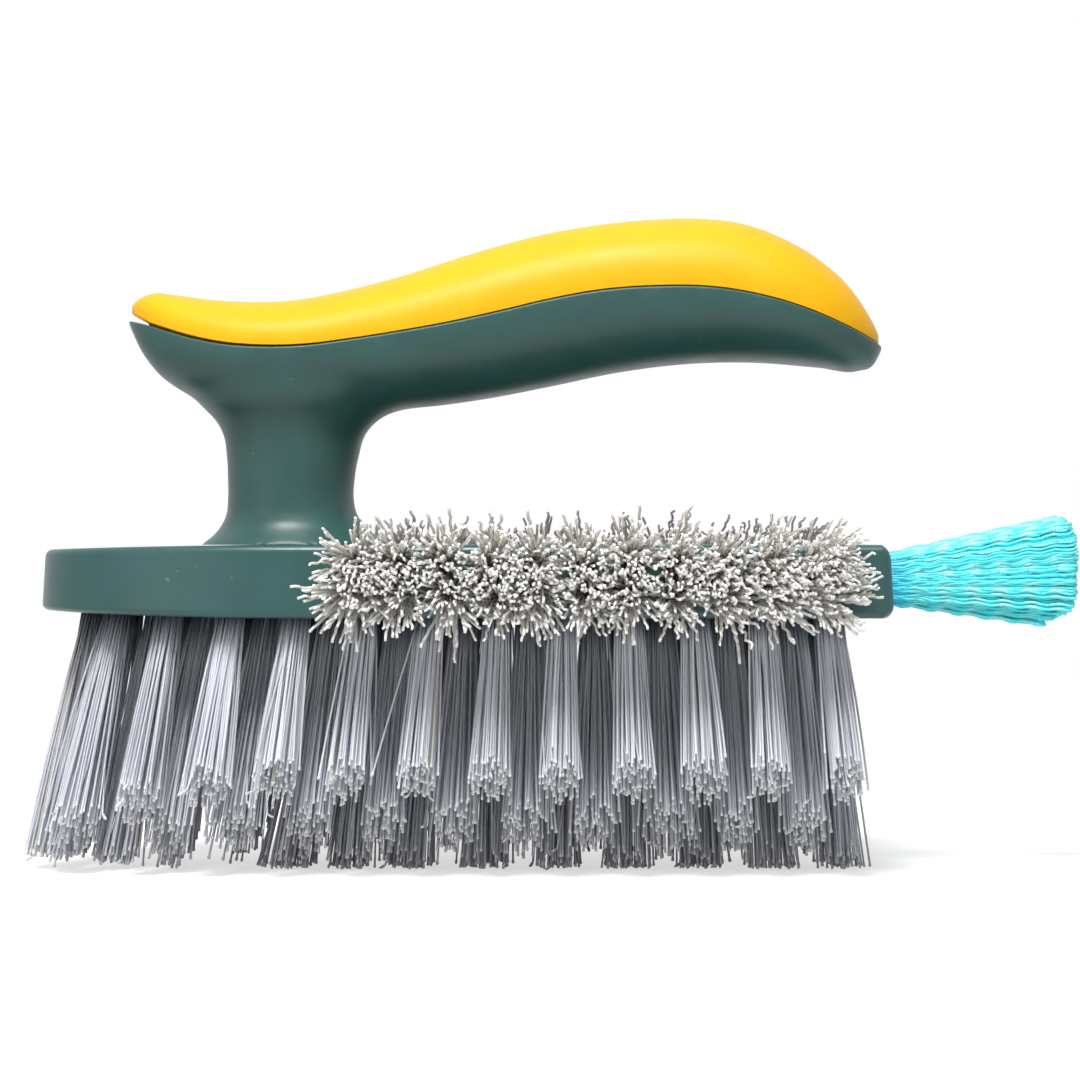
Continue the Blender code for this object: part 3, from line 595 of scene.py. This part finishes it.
def makeNeckRings(look):
    foot, arm = blockTop, heightAt(bellyShares, look["neckX"])
    ups = np.linspace(0, neckShares[-1][0], look["neckRings"])
    reaches = [smoothCurve([(row[0], row[i]) for row in neckShares], ups) for i in (1, 2, 3)]
    turns = np.arange(look["neckPoints"]) * 2 * math.pi / look["neckPoints"]
    along = squarer(np.cos(turns), look["neckPower"])
    across = squarer(np.sin(turns), look["neckPower"])
    rings = []
    for up, front, rear, side in zip(ups, *reaches):
        reach = np.where(along > 0, rear, front) * look["neckLength"] / 2
        x = look["neckX"] + along * reach
        y = across * side * look["neckWidth"] / 2
        rings.append(np.column_stack([x, y, np.full(len(turns), foot + up * (arm - foot))]))
    return rings


def makeHandle(look):
    arm = []
    for x in stationsOf(0, look["stations"]):
        half, lip = halfWidthAt(x, 0), heightAt(lipShares, x)
        ring = archRing(x, half, lip, heightAt(bellyShares, x), look["armPower"], look["archPoints"])
        top = lip + look["topSpare"]
        arm.append(np.concatenate([ring, [(x, -half, top), (x, half, top)]]))
    made = newObject("handleBody", loftMesh("handleBody", arm))
    neck = loftMesh("neck", makeNeckRings(look))
    bm = bmesh.new()
    bm.from_mesh(made.data)
    bm.from_mesh(neck)
    bm.to_mesh(made.data)
    bm.free()
    bpy.data.meshes.remove(neck)
    remesh = made.modifiers.new("oneSkin", "REMESH")
    remesh.mode = "VOXEL"
    remesh.voxel_size = look["voxel"] * mm
    settle(made)
    smoothSkin(made.data, look)
    cutWith(made, loftMesh("recess", recessRings(look)))
    return made


def recessRings(look):  # takes off all above the lip, rounds its rim, and hollows the arm
    rings = []
    ahead, behind = handleFront - look["clearAhead"], handleRear + look["clearAhead"]
    for x in (ahead, *stationsOf(0, look["stations"]), behind):
        along = np.clip(x, handleFront + hair, handleRear - hair)
        lip = heightAt(lipShares, along)
        edge = lip - look["rimDrop"]
        half, inner = [halfWidthAt(along, inset) * (along == x) for inset in (0, look["wall"])]
        outside = half + look["clearBeside"]
        steps = [(outside, lip + look["clearAbove"]), (outside, edge), (half + hair, edge)]
        turn = min(look["rimRound"], half * look["rimMost"])
        for angle in np.linspace(0, math.pi / 2, look["rimSteps"] + 1)[1:]:
            up = look["rimDrop"] * math.sin(angle) * (turn / look["rimRound"])
            steps.append((half - turn * (1 - math.cos(angle)), edge + up))
        top = steps[-1][1]
        floor = max(lip - look["recess"], heightAt(bellyShares, along) + look["wall"])
        floor = min(floor, lip - look["recessLeast"])
        floor = top + (floor - top) * min(1, inner / look["recessRamp"])
        reach = min(inner, half - turn)
        steps = np.array([*steps, (reach, top), (reach * look["recessDraft"], floor)])
        ring = np.concatenate([steps, steps[::-1] * (-1, 1)])
        rings.append(np.column_stack([np.full(len(ring), x), ring]))
    return rings


def relaxer(a, b, count):  # moves each point towards the mean of its neighbours, by its own share
    valence = np.maximum(1, np.bincount(np.concatenate([a, b]), minlength=count))[:, None]

    def relax(points, share):
        total = np.empty_like(points)
        for axis in range(3):
            total[:, axis] = np.bincount(a, points[b, axis], count) + np.bincount(b, points[a, axis], count)
        return points + (total / valence - points) * share[:, None]

    return relax


def smoothSkin(mesh, look):  # rounds the seam of arm and neck, and polishes the rest a little
    count = len(mesh.vertices)
    points = np.empty(count * 3)
    mesh.vertices.foreach_get("co", points)
    points = points.reshape(-1, 3)
    edges = np.empty(len(mesh.edges) * 2, int)
    mesh.edges.foreach_get("vertices", edges)
    edges = edges.reshape(-1, 2)
    x, y, z = (points / mm - (noseX, 0, 0)).T
    away = np.hypot((x - look["neckX"]) / (look["neckLength"] / 2), y / (look["neckWidth"] / 2))
    near, far = look["blendReach"]
    off = np.clip((z - blockTop - look["footKeep"]) / look["footFade"], 0, 1)
    weight = np.clip((far - away) / (far - near), 0, 1) * off
    weight = weight ** 2 * (3 - 2 * weight)
    relax = relaxer(*edges.T, count)
    free = z > blockTop + look["polishFrom"]
    smooth, restore = look["polish"]
    for _ in range(look["polishPasses"]):  # the second pass takes back what the first shrank
        points = relax(relax(points, smooth * free), restore * free)

    picked = weight > 0
    kept = edges[picked[edges].any(axis=1)]
    index = np.unique(kept)
    place = np.zeros(count, int)
    place[index] = np.arange(len(index))
    relax = relaxer(*place[kept].T, len(index))
    part, share = points[index], weight[index]
    fill = look["fillShare"] * share * np.clip((z[index] - look["fillFrom"]) / look["fillFade"], 0, 1)
    outward = np.empty(count * 3)
    for _ in range(look["fillRounds"]):  # fills the hollow of the seam, and takes nothing off
        mesh.vertex_normals.foreach_get("vector", outward)
        normals = outward.reshape(-1, 3)[index]
        for _ in range(look["fillPasses"]):
            rise = ((relax(part, fill) - part) * normals).sum(axis=1)
            part = part + normals * rise.clip(0)[:, None]
        points[index] = part
        mesh.vertices.foreach_set("co", points.ravel())
        mesh.update()
    smooth, restore = look["blend"]
    for _ in range(look["blendPasses"]):
        part = relax(relax(part, smooth * share), restore * share)
    points[index] = part
    mesh.vertices.foreach_set("co", points.ravel())
    mesh.update()


handleBody = makeHandle(handleLook)
shadeSmooth(handleBody, handleLook["sharpAngle"])
dress(handleBody, plasticMaterial("handlePlastic", handleLook), "handle", "handle_shell")
print("handle is one skin, with", len(handleBody.data.polygons), "faces")


# Cover: a domed yellow shell whose nose stands off the handle

coverLook = {
    "reveal": 0.5, "gap": 0.22, "frontGap": 0.42, "frontGapEnd": 38.0, "noseLift": 1.1, "liftLength": 4.6,
    "leastCrown": 0.3, "edgeRadius": 0.6, "edgeMost": 0.25, "edgeDrop": 0.25, "skirtInset": 3.2,
    "skirtDrop": 0.1, "skirtDepth": 1.6, "skirtRamp": 6.0, "stations": 150, "archPoints": 57, "power": 2.3,
    "sharpAngle": math.radians(60),
    "colour": rgb(240, 177, 22), "cloud": 0.03, "rub": 0.1, "roughness": 0.45, "specular": 0.2, "grain": 0.4,
    "grainDepth": 0.02,
}


def coverBase(x):
    look, back = coverLook, x - handleFront
    near = np.clip(1 - back / look["liftLength"], 0, 1)
    front = np.clip(1 - back / look["frontGapEnd"], 0, 1)
    return heightAt(lipShares, x) + look["gap"] + look["frontGap"] * front + look["noseLift"] * near ** 2


def makeCover(look):
    rings = []
    for x in stationsOf(look["reveal"], look["stations"]):
        half, base = halfWidthAt(x, look["reveal"]), coverBase(x)
        crown = max(heightAt(crownShares, x), base + look["leastCrown"])
        ring = archRing(x, half, base, crown, look["power"], look["archPoints"])
        # the lower edge turns in before the skirt goes down inside the handle
        turnIn = min(look["edgeRadius"], half * look["edgeMost"])
        skirt = max(halfWidthAt(x, look["skirtInset"]), hair)
        low = base - look["skirtDepth"] * min(1, skirt / look["skirtRamp"])
        edge = half - turnIn
        skirt = min(skirt, edge)
        under = [(edge, base - look["edgeDrop"] * turnIn), (skirt, base - look["skirtDrop"]), (skirt, low)]
        under = [(x, -y, z) for y, z in under] + [(x, y, z) for y, z in under[::-1]]
        rings.append(np.concatenate([ring, under]))
    return newObject("gripCover", loftMesh("gripCover", rings))


gripCover = makeCover(coverLook)
shadeSmooth(gripCover, coverLook["sharpAngle"])
dress(gripCover, plasticMaterial("coverPlastic", coverLook), "cover", "grip_cover")
print("cover is on")


# Strands: every filament is its own tube, coloured by how far along it is, with painted shade at the root and
# painted highlight at the tip

def strandMesh(name, paths, radii, sides, tones, paintedLightMask=None, seed=0):
    count, steps = paths.shape[:2]
    along = np.gradient(paths, axis=1)
    along /= np.linalg.norm(along, axis=2)[:, :, None]
    whole = paths[:, -1] - paths[:, 0]
    helper = np.where(abs(whole[:, 2:3]) > abs(whole[:, 1:2]), (0, 1, 0), (0, 0, 1))
    side = np.cross(along, helper[:, None, :])
    side /= np.linalg.norm(side, axis=2)[:, :, None]
    up = np.cross(side, along)
    spin = np.random.default_rng(seed).random((count, 1, 1)) * 2 * math.pi
    turns = spin + np.arange(sides) * 2 * math.pi / sides
    radii = np.broadcast_to(radii, (count, steps))
    ring = np.cos(turns)[..., None] * side[:, :, None] + np.sin(turns)[..., None] * up[:, :, None]
    points = paths[:, :, None] + ring * radii[:, :, None, None]
    first = np.arange(count)[:, None] * steps  # each strand's first ring
    low = (first + np.arange(steps - 1))[..., None] * sides
    around = np.arange(sides)
    after = (around + 1) % sides
    quads = np.stack([low + around, low + after, low + sides + after, low + sides + around], axis=-1)
    root = first * sides + around[::-1]
    cap = (first + steps - 1) * sides + around
    faces = quads.reshape(-1, 4).tolist() + cap.tolist() + root.tolist()
    mesh = bpy.data.meshes.new(name)
    mesh.from_pydata(worldPoints(points.reshape(-1, 3)).tolist(), [], faces)

    runs = np.linalg.norm(np.diff(paths, axis=1), axis=2).cumsum(axis=1)
    share = np.concatenate([np.zeros((count, 1)), runs / runs[:, -1:]], axis=1)
    # a mask of painted light: painted highlight on crimp crests, and painted shade over the block in the side
    # tufts
    paintedLightMask = np.zeros((count, steps)) if paintedLightMask is None else paintedLightMask
    cut = np.zeros(len(faces))
    cut[-2 * count:-count] = 1
    values = {
        "along": ("POINT", np.repeat(share.ravel(), sides)),
        "tone": ("POINT", np.repeat(tones, steps * sides)),
        "crest": ("POINT", np.repeat(paintedLightMask.ravel(), sides)),
        "cut": ("FACE", cut),
    }
    for label, (domain, value) in values.items():
        mesh.attributes.new(label, "FLOAT", domain).data.foreach_set("value", value)
    mesh.polygons.foreach_set("use_smooth", np.arange(len(faces)) < len(faces) - 2 * count)
    addStrandMap(mesh, count, steps, sides, mapLook)
    return mesh


# Places in a strand's own cell of the map: its skin below, its two ends above
mapLook = {
    "edge": 0.06, "wide": 0.88, "high": 0.74, "endPlaces": (0.28, 0.72), "endHeight": 0.9,
    "endSize": (0.2, 0.065),
}


def addStrandMap(mesh, count, steps, sides, look):
    columns = math.ceil(math.sqrt(count * (steps - 1) / sides))
    rows = math.ceil(count / columns)
    cell = np.array([1 / columns, 1 / rows])
    corner = np.stack([np.arange(count) % columns, np.arange(count) // columns], axis=1) * cell
    wide, high = look["wide"], look["high"]
    u = look["edge"] + np.arange(sides) / sides * wide
    v = look["edge"] + np.arange(steps - 1) / (steps - 1) * high
    du, dv = wide / sides, high / (steps - 1)
    low = np.stack(np.broadcast_arrays(u[None, :], v[:, None]), axis=-1)
    quad = np.stack([low, low + (du, 0), low + (du, dv), low + (0, dv)], axis=2)
    turns = np.arange(sides) * 2 * math.pi / sides
    disc = np.stack([np.cos(turns), np.sin(turns)], axis=1) * look["endSize"]
    parts = [corner[:, None, None, None] + quad * cell]
    for place in look["endPlaces"]:
        parts.append(corner[:, None] + (disc + (place, look["endHeight"])) * cell)
    layer = mesh.uv_layers.new(name="OFBake")
    layer.data.foreach_set("uv", np.concatenate([part.ravel() for part in parts]))


# Bottom tufts: straight filament, fanned out and trimmed to a keel

bottomLook = {
    "perTuft": 90, "radius": (0.17, 0.21), "sides": 5, "tuftRadius": 2.3, "rootSpread": 0.06, "sink": 1.5,
    "firstTurn": 6.0, "openAlong": (0.35, 1.15), "openAcross": (1.9, 2.6), "loose": 0.6, "strays": 5,
    "strayReach": 2.4, "wander": 0.35, "bow": 0.35, "keel": 3.0, "trim": math.radians(38.5), "ragged": 0.6,
    "dome": 0.7, "noseRise": 2.6, "noseRiseLength": 46.0, "foremost": -3.2, "shortest": 5.0, "halvings": 22,
    # rings at shares of the length, and near the tip at (distance from the end, share of the radius)
    "rings": (0.0, 0.25, 0.5, 0.75), "tipRings": ((0.7, 1.0), (0.42, 1.42), (0.12, 1.38), (0.0, 0.85)),
    "bent": 5, "bend": 1.2, "bendShape": (1, 1, 0.4), "bendFrom": 0.5, "clearance": 0.3, "seed": 11,
    # painted shade: the root colour darkens each filament near the block
    "root": rgb(104, 108, 120), "shaft": rgb(210, 213, 221), "tip": rgb(244, 244, 245),
    # painted highlight: the tip colour above and the cut end colour are paler, for lit ends
    "litCutEnd": rgb(250, 250, 250), "pale": rgb(236, 237, 239), "stain": rgb(206, 196, 170),
    "rootShadeEnd": 0.24, "tipStart": 0.975, "unlike": 0.3, "paleFrom": 0.955, "paintedLightShare": 0.0,
    "roughness": 0.32, "glow": 0.25, "glowDepth": 0.3,
}


def trimHeight(x, y, look):
    slope = np.maximum(0, (abs(y) - look["keel"]) * math.tan(look["trim"]))
    nose = look["noseRise"] * np.clip(1 - x / look["noseRiseLength"], 0, 1) ** 2
    return np.maximum(slope, nose)


def tuftPaths(place, lean, look, rng):
    count = look["perTuft"]
    away, share = sunflower(count, rng.random() * look["firstTurn"])
    share = np.sqrt(share)
    off = look["tuftRadius"] * share[:, None] * away
    off += rng.normal(0, look["rootSpread"], (count, 2))
    fan = fanReach(place) + rng.normal(0, look["wander"], 2) + (lean, 0)
    opened = off * (rng.uniform(*look["openAlong"]), rng.uniform(*look["openAcross"]))
    reach = fan + opened + rng.normal(0, look["loose"], (count, 2))
    stray = rng.choice(count, look["strays"], replace=False)
    reach[stray] += rng.normal(0, look["strayReach"], (look["strays"], 2))
    reach[:, 0] = np.maximum(reach[:, 0], look["foremost"] - (place + off)[:, 0])
    bow = rng.normal(0, look["bow"], (count, 2))

    def at(down):  # place in plan, down millimetres below the block
        t = (down / blockBottom)[:, None]
        return place + off + reach * t + bow * t * (1 - t) * 4  # the bow is at its full half way down

    shortest, longest = np.full(count, look["shortest"]), np.full(count, blockBottom)
    for _ in range(look["halvings"]):  # closes in on where each strand meets the trim
        middle = (shortest + longest) / 2
        spot = at(middle)
        above = blockBottom - middle > trimHeight(spot[:, 0], spot[:, 1], look) + look["dome"] * share ** 3
        shortest, longest = np.where(above, middle, shortest), np.where(above, longest, middle)
    length = np.minimum(shortest + rng.normal(0, look["ragged"], count), blockBottom - hair)
    downs = [-look["sink"] + part * (length + look["sink"]) for part in look["rings"]]
    downs += [length - before for before, _ in look["tipRings"]]
    paths = np.stack([np.column_stack([at(down), blockBottom - down]) for down in downs], axis=1)
    bent = rng.choice(count, look["bent"], replace=False)
    kink = rng.normal(0, look["bend"], (len(bent), 3)) * look["bendShape"]
    grows = np.linspace(look["bendFrom"], 1, len(look["tipRings"]))[:, None]
    paths[bent, len(look["rings"]):] += kink[:, None] * grows
    paths[:, :, 2] = np.maximum(paths[:, :, 2], look["clearance"])
    return paths


def makeTuftRow(name, nodes, leadTufts, look, seed):
    rng = np.random.default_rng(seed)
    tufts = [(tuftPlaces[node], 0.0) for node in nodes] + [((x, 0), lean) for x, lean in leadTufts]
    paths = np.concatenate([tuftPaths(np.array(place), lean, look, rng) for place, lean in tufts])
    shares = np.array([1.0] * len(look["rings"]) + [share for _, share in look["tipRings"]])
    radii = rng.uniform(*look["radius"], (len(paths), 1)) * shares
    mesh = strandMesh(name, paths, radii, look["sides"], rng.random(len(paths)), seed=seed)
    dress(newObject(name, mesh), bottomMaterial, "bottom_bristle", *nodes)
    print(name, "has", len(paths), "filaments")


bottomMaterial = strandMaterial("bottomFilament", bottomLook)
rows = {
    "outerTuftsLeft": "outer_tuft_left", "outerTuftsRight": "outer_tuft_right", "noseTuft": "outer_tuft_nose",
    "innerTuftsLeft": "inner_tuft_left", "innerTuftsRight": "inner_tuft_right", "centreTufts": "centre_tuft",
}
for number, (name, prefix) in enumerate(rows.items()):
    nodes = [node for node in tuftNodes if node.startswith(prefix)]
    leadTufts = fanLook["leadTufts"] if name == "centreTufts" else ()
    makeTuftRow(name, nodes, leadTufts, bottomLook, bottomLook["seed"] + number)


# Side tufts: crimped filament that opens like a flower from each hole

sideLook = {
    "tufts": 11, "firstX": 54.0, "lastX": 129.5, "rows": (47.1, 52.1), "place": (0.45, 0.225), "perTuft": 92,
    "radius": (0.21, 0.26), "sides": 5, "steps": 16, "length": 10.4, "lengthSpread": 0.22, "rootInset": 0.4,
    # in degrees, and pairs are (place along the block, degrees)
    "openDown": 38, "openUp": 35, "openInner": 11, "openFront": ((54, 32), (64, 18)),
    "openRear": ((122, 18), (130, 24)), "sweep": ((54, -4), (70, 0), (95, 3), (115, 9), (130, 20)),
    "stray": 15, "unsteady": 8, "drift": 3.5, "widest": 58,
    # pairs are (place along the block, depth)
    "crimp": ((54, 0.18), (95, 0.22), (130, 0.36)), "firstTurn": 6.0, "strayShare": 0.12, "hub": (2.5, 2.0),
    "crimpShare": (0.3, 1.25), "crimpLength": 2.5, "crimpSpread": (0.85, 1.2), "crimpStart": 2.0, "sag": 0.5,
    "sink": 1.0, "topShadeRise": 3.0, "seeds": (40, 43),
    # painted shade: the root colour darkens each filament near the block
    "root": rgb(226, 222, 217), "shaft": rgb(236, 233, 228), "tip": rgb(240, 239, 236),
    # painted highlight: the tip colour above and the cut end colour are paler, for lit ends
    "litCutEnd": rgb(244, 244, 242), "pale": rgb(214, 205, 196), "stain": rgb(220, 200, 172),
    # painted shade: the pale colour, laid on by the crest mask, darkens and browns the strands over the block
    "rootShadeEnd": 0.4, "tipStart": 0.8, "unlike": 0.1, "paleFrom": 0.92, "paintedLightShare": 0.6,
    "roughness": 0.45, "glow": 0.25, "glowDepth": 0.3,
}


def crimpedPaths(roots, headings, lengths, depths, look, rng):
    count, steps, steep = len(roots), look["steps"], 0.8
    across = np.cross(headings, np.where(abs(headings[:, :1]) > steep, (0, 0, 1), (1, 0, 0)))
    across /= np.linalg.norm(across, axis=1)[:, None]
    other = np.cross(headings, across)
    turn = rng.random((count, 1)) * math.pi
    plane = across * np.cos(turn) + other * np.sin(turn)
    phase = rng.random(count) * 2 * math.pi
    wave = look["crimpLength"] * rng.uniform(*look["crimpSpread"], count)
    bend = rng.normal(0, look["sag"], (count, 2))
    sag = across * bend[:, :1] + other * bend[:, 1:]
    paths = np.empty((count, steps, 3))
    for i, share in enumerate(np.linspace(0, 1, steps)):
        reach = -look["sink"] + share * (lengths + look["sink"])
        swing = depths * np.sin(phase + reach * 2 * math.pi / wave)
        swing *= np.clip(reach / look["crimpStart"], 0, 1)
        paths[:, i] = roots + headings * reach[:, None] + plane * swing[:, None] + sag * share ** 2
    return paths


def alongBlock(table, x):
    return np.interp(x, *np.array(table).T)


def sideTuft(x, z, row, look, rng):
    count = look["perTuft"]
    away, share = sunflower(count, rng.random() * look["firstTurn"])
    spot = np.sqrt(share)[:, None] * away
    # the neighbours hold a tuft together, so it opens most at the rim of the band
    outer = look["openUp"] if row > 0 else look["openDown"]
    front, rear = alongBlock(look["openFront"], x), alongBlock(look["openRear"], x)
    opened = spot * np.column_stack([
        np.where(spot[:, 0] < 0, front, rear), np.where(spot[:, 1] * row > 0, outer, look["openInner"]),
    ])
    opened += (alongBlock(look["sweep"], x), 0) + rng.normal(0, look["drift"], 2)
    loose = np.where(rng.random((count, 1)) < look["strayShare"], look["stray"], look["unsteady"])
    opened += rng.normal(0, 1, (count, 2)) * loose
    slope = np.tan(np.radians(opened.clip(-look["widest"], look["widest"])))
    headings = np.column_stack([slope[:, 0], np.ones(count), slope[:, 1]])
    headings /= np.linalg.norm(headings, axis=1)[:, None]
    hub = spot * look["hub"]
    roots = np.column_stack([x + hub[:, 0], np.full(count, halfWidth - look["rootInset"]), z + hub[:, 1]])
    lengths = look["length"] * (1 - look["lengthSpread"] * rng.random(count))
    depths = alongBlock(look["crimp"], x) * rng.uniform(*look["crimpShare"], count)
    return crimpedPaths(roots, headings, lengths, depths, look, rng)


def makeSideRows(side, node, sign, look, seed):
    rng = np.random.default_rng(seed)
    for level, row, height in zip(("Lower", "Upper"), (-1, 1), look["rows"]):
        tufts = []
        for x in np.linspace(look["firstX"], look["lastX"], look["tufts"]):
            along, up = rng.normal(0, look["place"])
            tufts.append(sideTuft(x + along, height + up, row, look, rng))
        paths = np.concatenate(tufts) * (1, sign, 1)
        radii = rng.uniform(*look["radius"], (len(paths), 1))
        # painted shade: the strands that stand over the block are darker and browner
        topShade = np.clip((paths[:, :, 2] - blockTop) / look["topShadeRise"], 0, 1)
        name = "sideTufts" + side + level
        mesh = strandMesh(name, paths, radii, look["sides"], rng.random(len(paths)), topShade, seed + row)
        dress(newObject(name, mesh), sideMaterial, "side_bristle", node)
        print(name, "has", len(paths), "filaments")


sideMaterial = strandMaterial("sideFilament", sideLook)
makeSideRows("Left", "side_bristles_left", 1, sideLook, sideLook["seeds"][0])
makeSideRows("Right", "side_bristles_right", -1, sideLook, sideLook["seeds"][1])


# Crevice tuft: fine blue filament, crimped in step

creviceLook = {
    "strands": 620, "inside": 0.55, "evenPower": 0.5, "shellPower": 0.2, "radius": (0.24, 0.3), "sides": 5,
    "steps": 31, "length": 33.0, "rootHeight": 8.0, "rootWidth": 5.2, "tipHeight": 19.2, "tipWidth": 9.4,
    "middle": 49.2, "lift": 1.6, "loose": 0.18, "power": 3.0, "crimpLength": 4.7, "crimp": 0.27,
    "crimpShare": (0.6, 1.2), "crimpStart": 3.0, "turn": math.radians(50), "turnSpread": 0.35,
    "phaseSpread": 1.0, "phaseTilt": 0.6, "highlightDashShare": 0.6, "highlightDashEdge": 0.3, "highlightDashRise": 10.0, "ragged": 0.03,
    "cornerCut": (0.2, 0.085), "cornerPower": 6, "sink": 1.0, "trailing": 10, "trailDrop": 1.0, "seed": 60,
    # painted shade: the root colour darkens each filament near the block, and here it is also a deeper blue
    "root": rgb(0, 200, 255), "shaft": rgb(90, 247, 255), "tip": rgb(120, 250, 255),
    # painted highlight: the tip colour above and the cut end colour are paler, for lit ends
    "litCutEnd": rgb(180, 253, 255), "pale": rgb(176, 255, 255), "stain": rgb(150, 250, 254),
    # painted highlight: the pale colour, laid on by the crest mask, lights the crimp crests in dashes
    "rootShadeEnd": 0.26, "tipStart": 0.93, "unlike": 0.04, "paleFrom": 0.95, "paintedLightShare": 0.9,
    "roughness": 0.42, "glow": 0.3, "glowDepth": 0.3,
}


def makeCrevice(look):
    rng = np.random.default_rng(look["seed"])
    count, steps = look["strands"], look["steps"]
    spot, share = sunflower(count)
    # some strands fill the tuft evenly, and the others crowd near its outside
    packing = np.where(rng.random(count) < look["inside"], look["evenPower"], look["shellPower"])
    radii = share ** packing
    spot *= radii[:, None] / (abs(spot) ** look["power"]).sum(1, keepdims=True) ** (1 / look["power"])
    loose = rng.normal(0, look["loose"], (count, 2))
    cut = np.where(spot[:, 1] < 0, *look["cornerCut"]) * abs(spot[:, 1]) ** look["cornerPower"]
    length = look["length"] * (1 - look["ragged"] * rng.random(count) - cut)
    phase = rng.normal(0, look["phaseSpread"], count) + look["phaseTilt"] * spot[:, 1]
    depth = look["crimp"] * rng.uniform(*look["crimpShare"], count)
    highlightDashed = rng.random(count) < look["highlightDashShare"]
    turn = look["turn"] + rng.normal(0, look["turnSpread"], count)
    trails = np.argsort(np.argsort(spot[:, 1])) < look["trailing"]  # the lowest strands hang down a little
    drop = np.where(trails, look["trailDrop"] * rng.random(count), 0)
    paths, paintedLightMask = np.empty((count, steps, 3)), np.empty((count, steps))
    for i, share in enumerate(np.linspace(0, 1, steps)):
        reach = -look["sink"] + share * (length + look["sink"])
        t = np.clip(reach / look["length"], 0, 1)
        wide = look["rootWidth"] / 2 + (look["tipWidth"] - look["rootWidth"]) / 2 * t
        high = look["rootHeight"] / 2 + (look["tipHeight"] - look["rootHeight"]) / 2 * t
        wave = np.sin(phase + reach * 2 * math.pi / look["crimpLength"])
        swing = depth * wave * np.clip(reach / look["crimpStart"], 0, 1)
        across = spot[:, 0] * wide + loose[:, 0] * t + swing * np.sin(turn)
        up = look["middle"] + look["lift"] * t + spot[:, 1] * high + loose[:, 1] * t + swing * np.cos(turn)
        paths[:, i] = np.column_stack([blockLength + reach, across, up - drop * t])
        # painted highlight: pale dashes where the crimp swings out, on the chosen strands
        highlightDash = np.clip(wave / look["highlightDashEdge"], 0, 1) * highlightDashed
        paintedLightMask[:, i] = highlightDash * np.clip(reach / look["highlightDashRise"], 0, 1)
    radii = rng.uniform(*look["radius"], (count, 1))
    mesh = strandMesh("creviceTuft", paths, radii, look["sides"], rng.random(count), paintedLightMask, look["seed"])
    creviceTuft = newObject("creviceTuft", mesh)
    dress(creviceTuft, strandMaterial("creviceFilament", look), "crevice_bristle", "crevice_bristles")
    print("crevice tuft has", count, "filaments")


makeCrevice(creviceLook)


# Screw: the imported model's own, dressed in plated steel

steelLook = {
    "dark": rgb(176, 178, 182), "light": rgb(204, 205, 206), "cloudScale": 900, "cloudDetail": 3,
    "cloudEdges": (0.3, 0.7), "roughness": (0.28, 0.42), "metallic": 1.0,
}


def steelMaterial(look):
    material, tree, shader = newMaterial("platedSteel")
    place = addNode(tree, "ShaderNodeTexCoord").outputs["Object"]
    cloud = remap(tree, noise(tree, place, look["cloudScale"], look["cloudDetail"]), *look["cloudEdges"])
    connect(tree, shader, {
        "Base Color": mixColours(tree, cloud, look["dark"], look["light"]),
        "Roughness": remap(tree, cloud, 0, 1, *look["roughness"]), "Metallic": look["metallic"],
    })
    return material


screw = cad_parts["handle_screw"]
screw.data.materials.clear()
screw.data.materials.append(steelMaterial(steelLook))
print("screw is plated")

bpy.context.scene.view_settings.view_transform = "Standard"
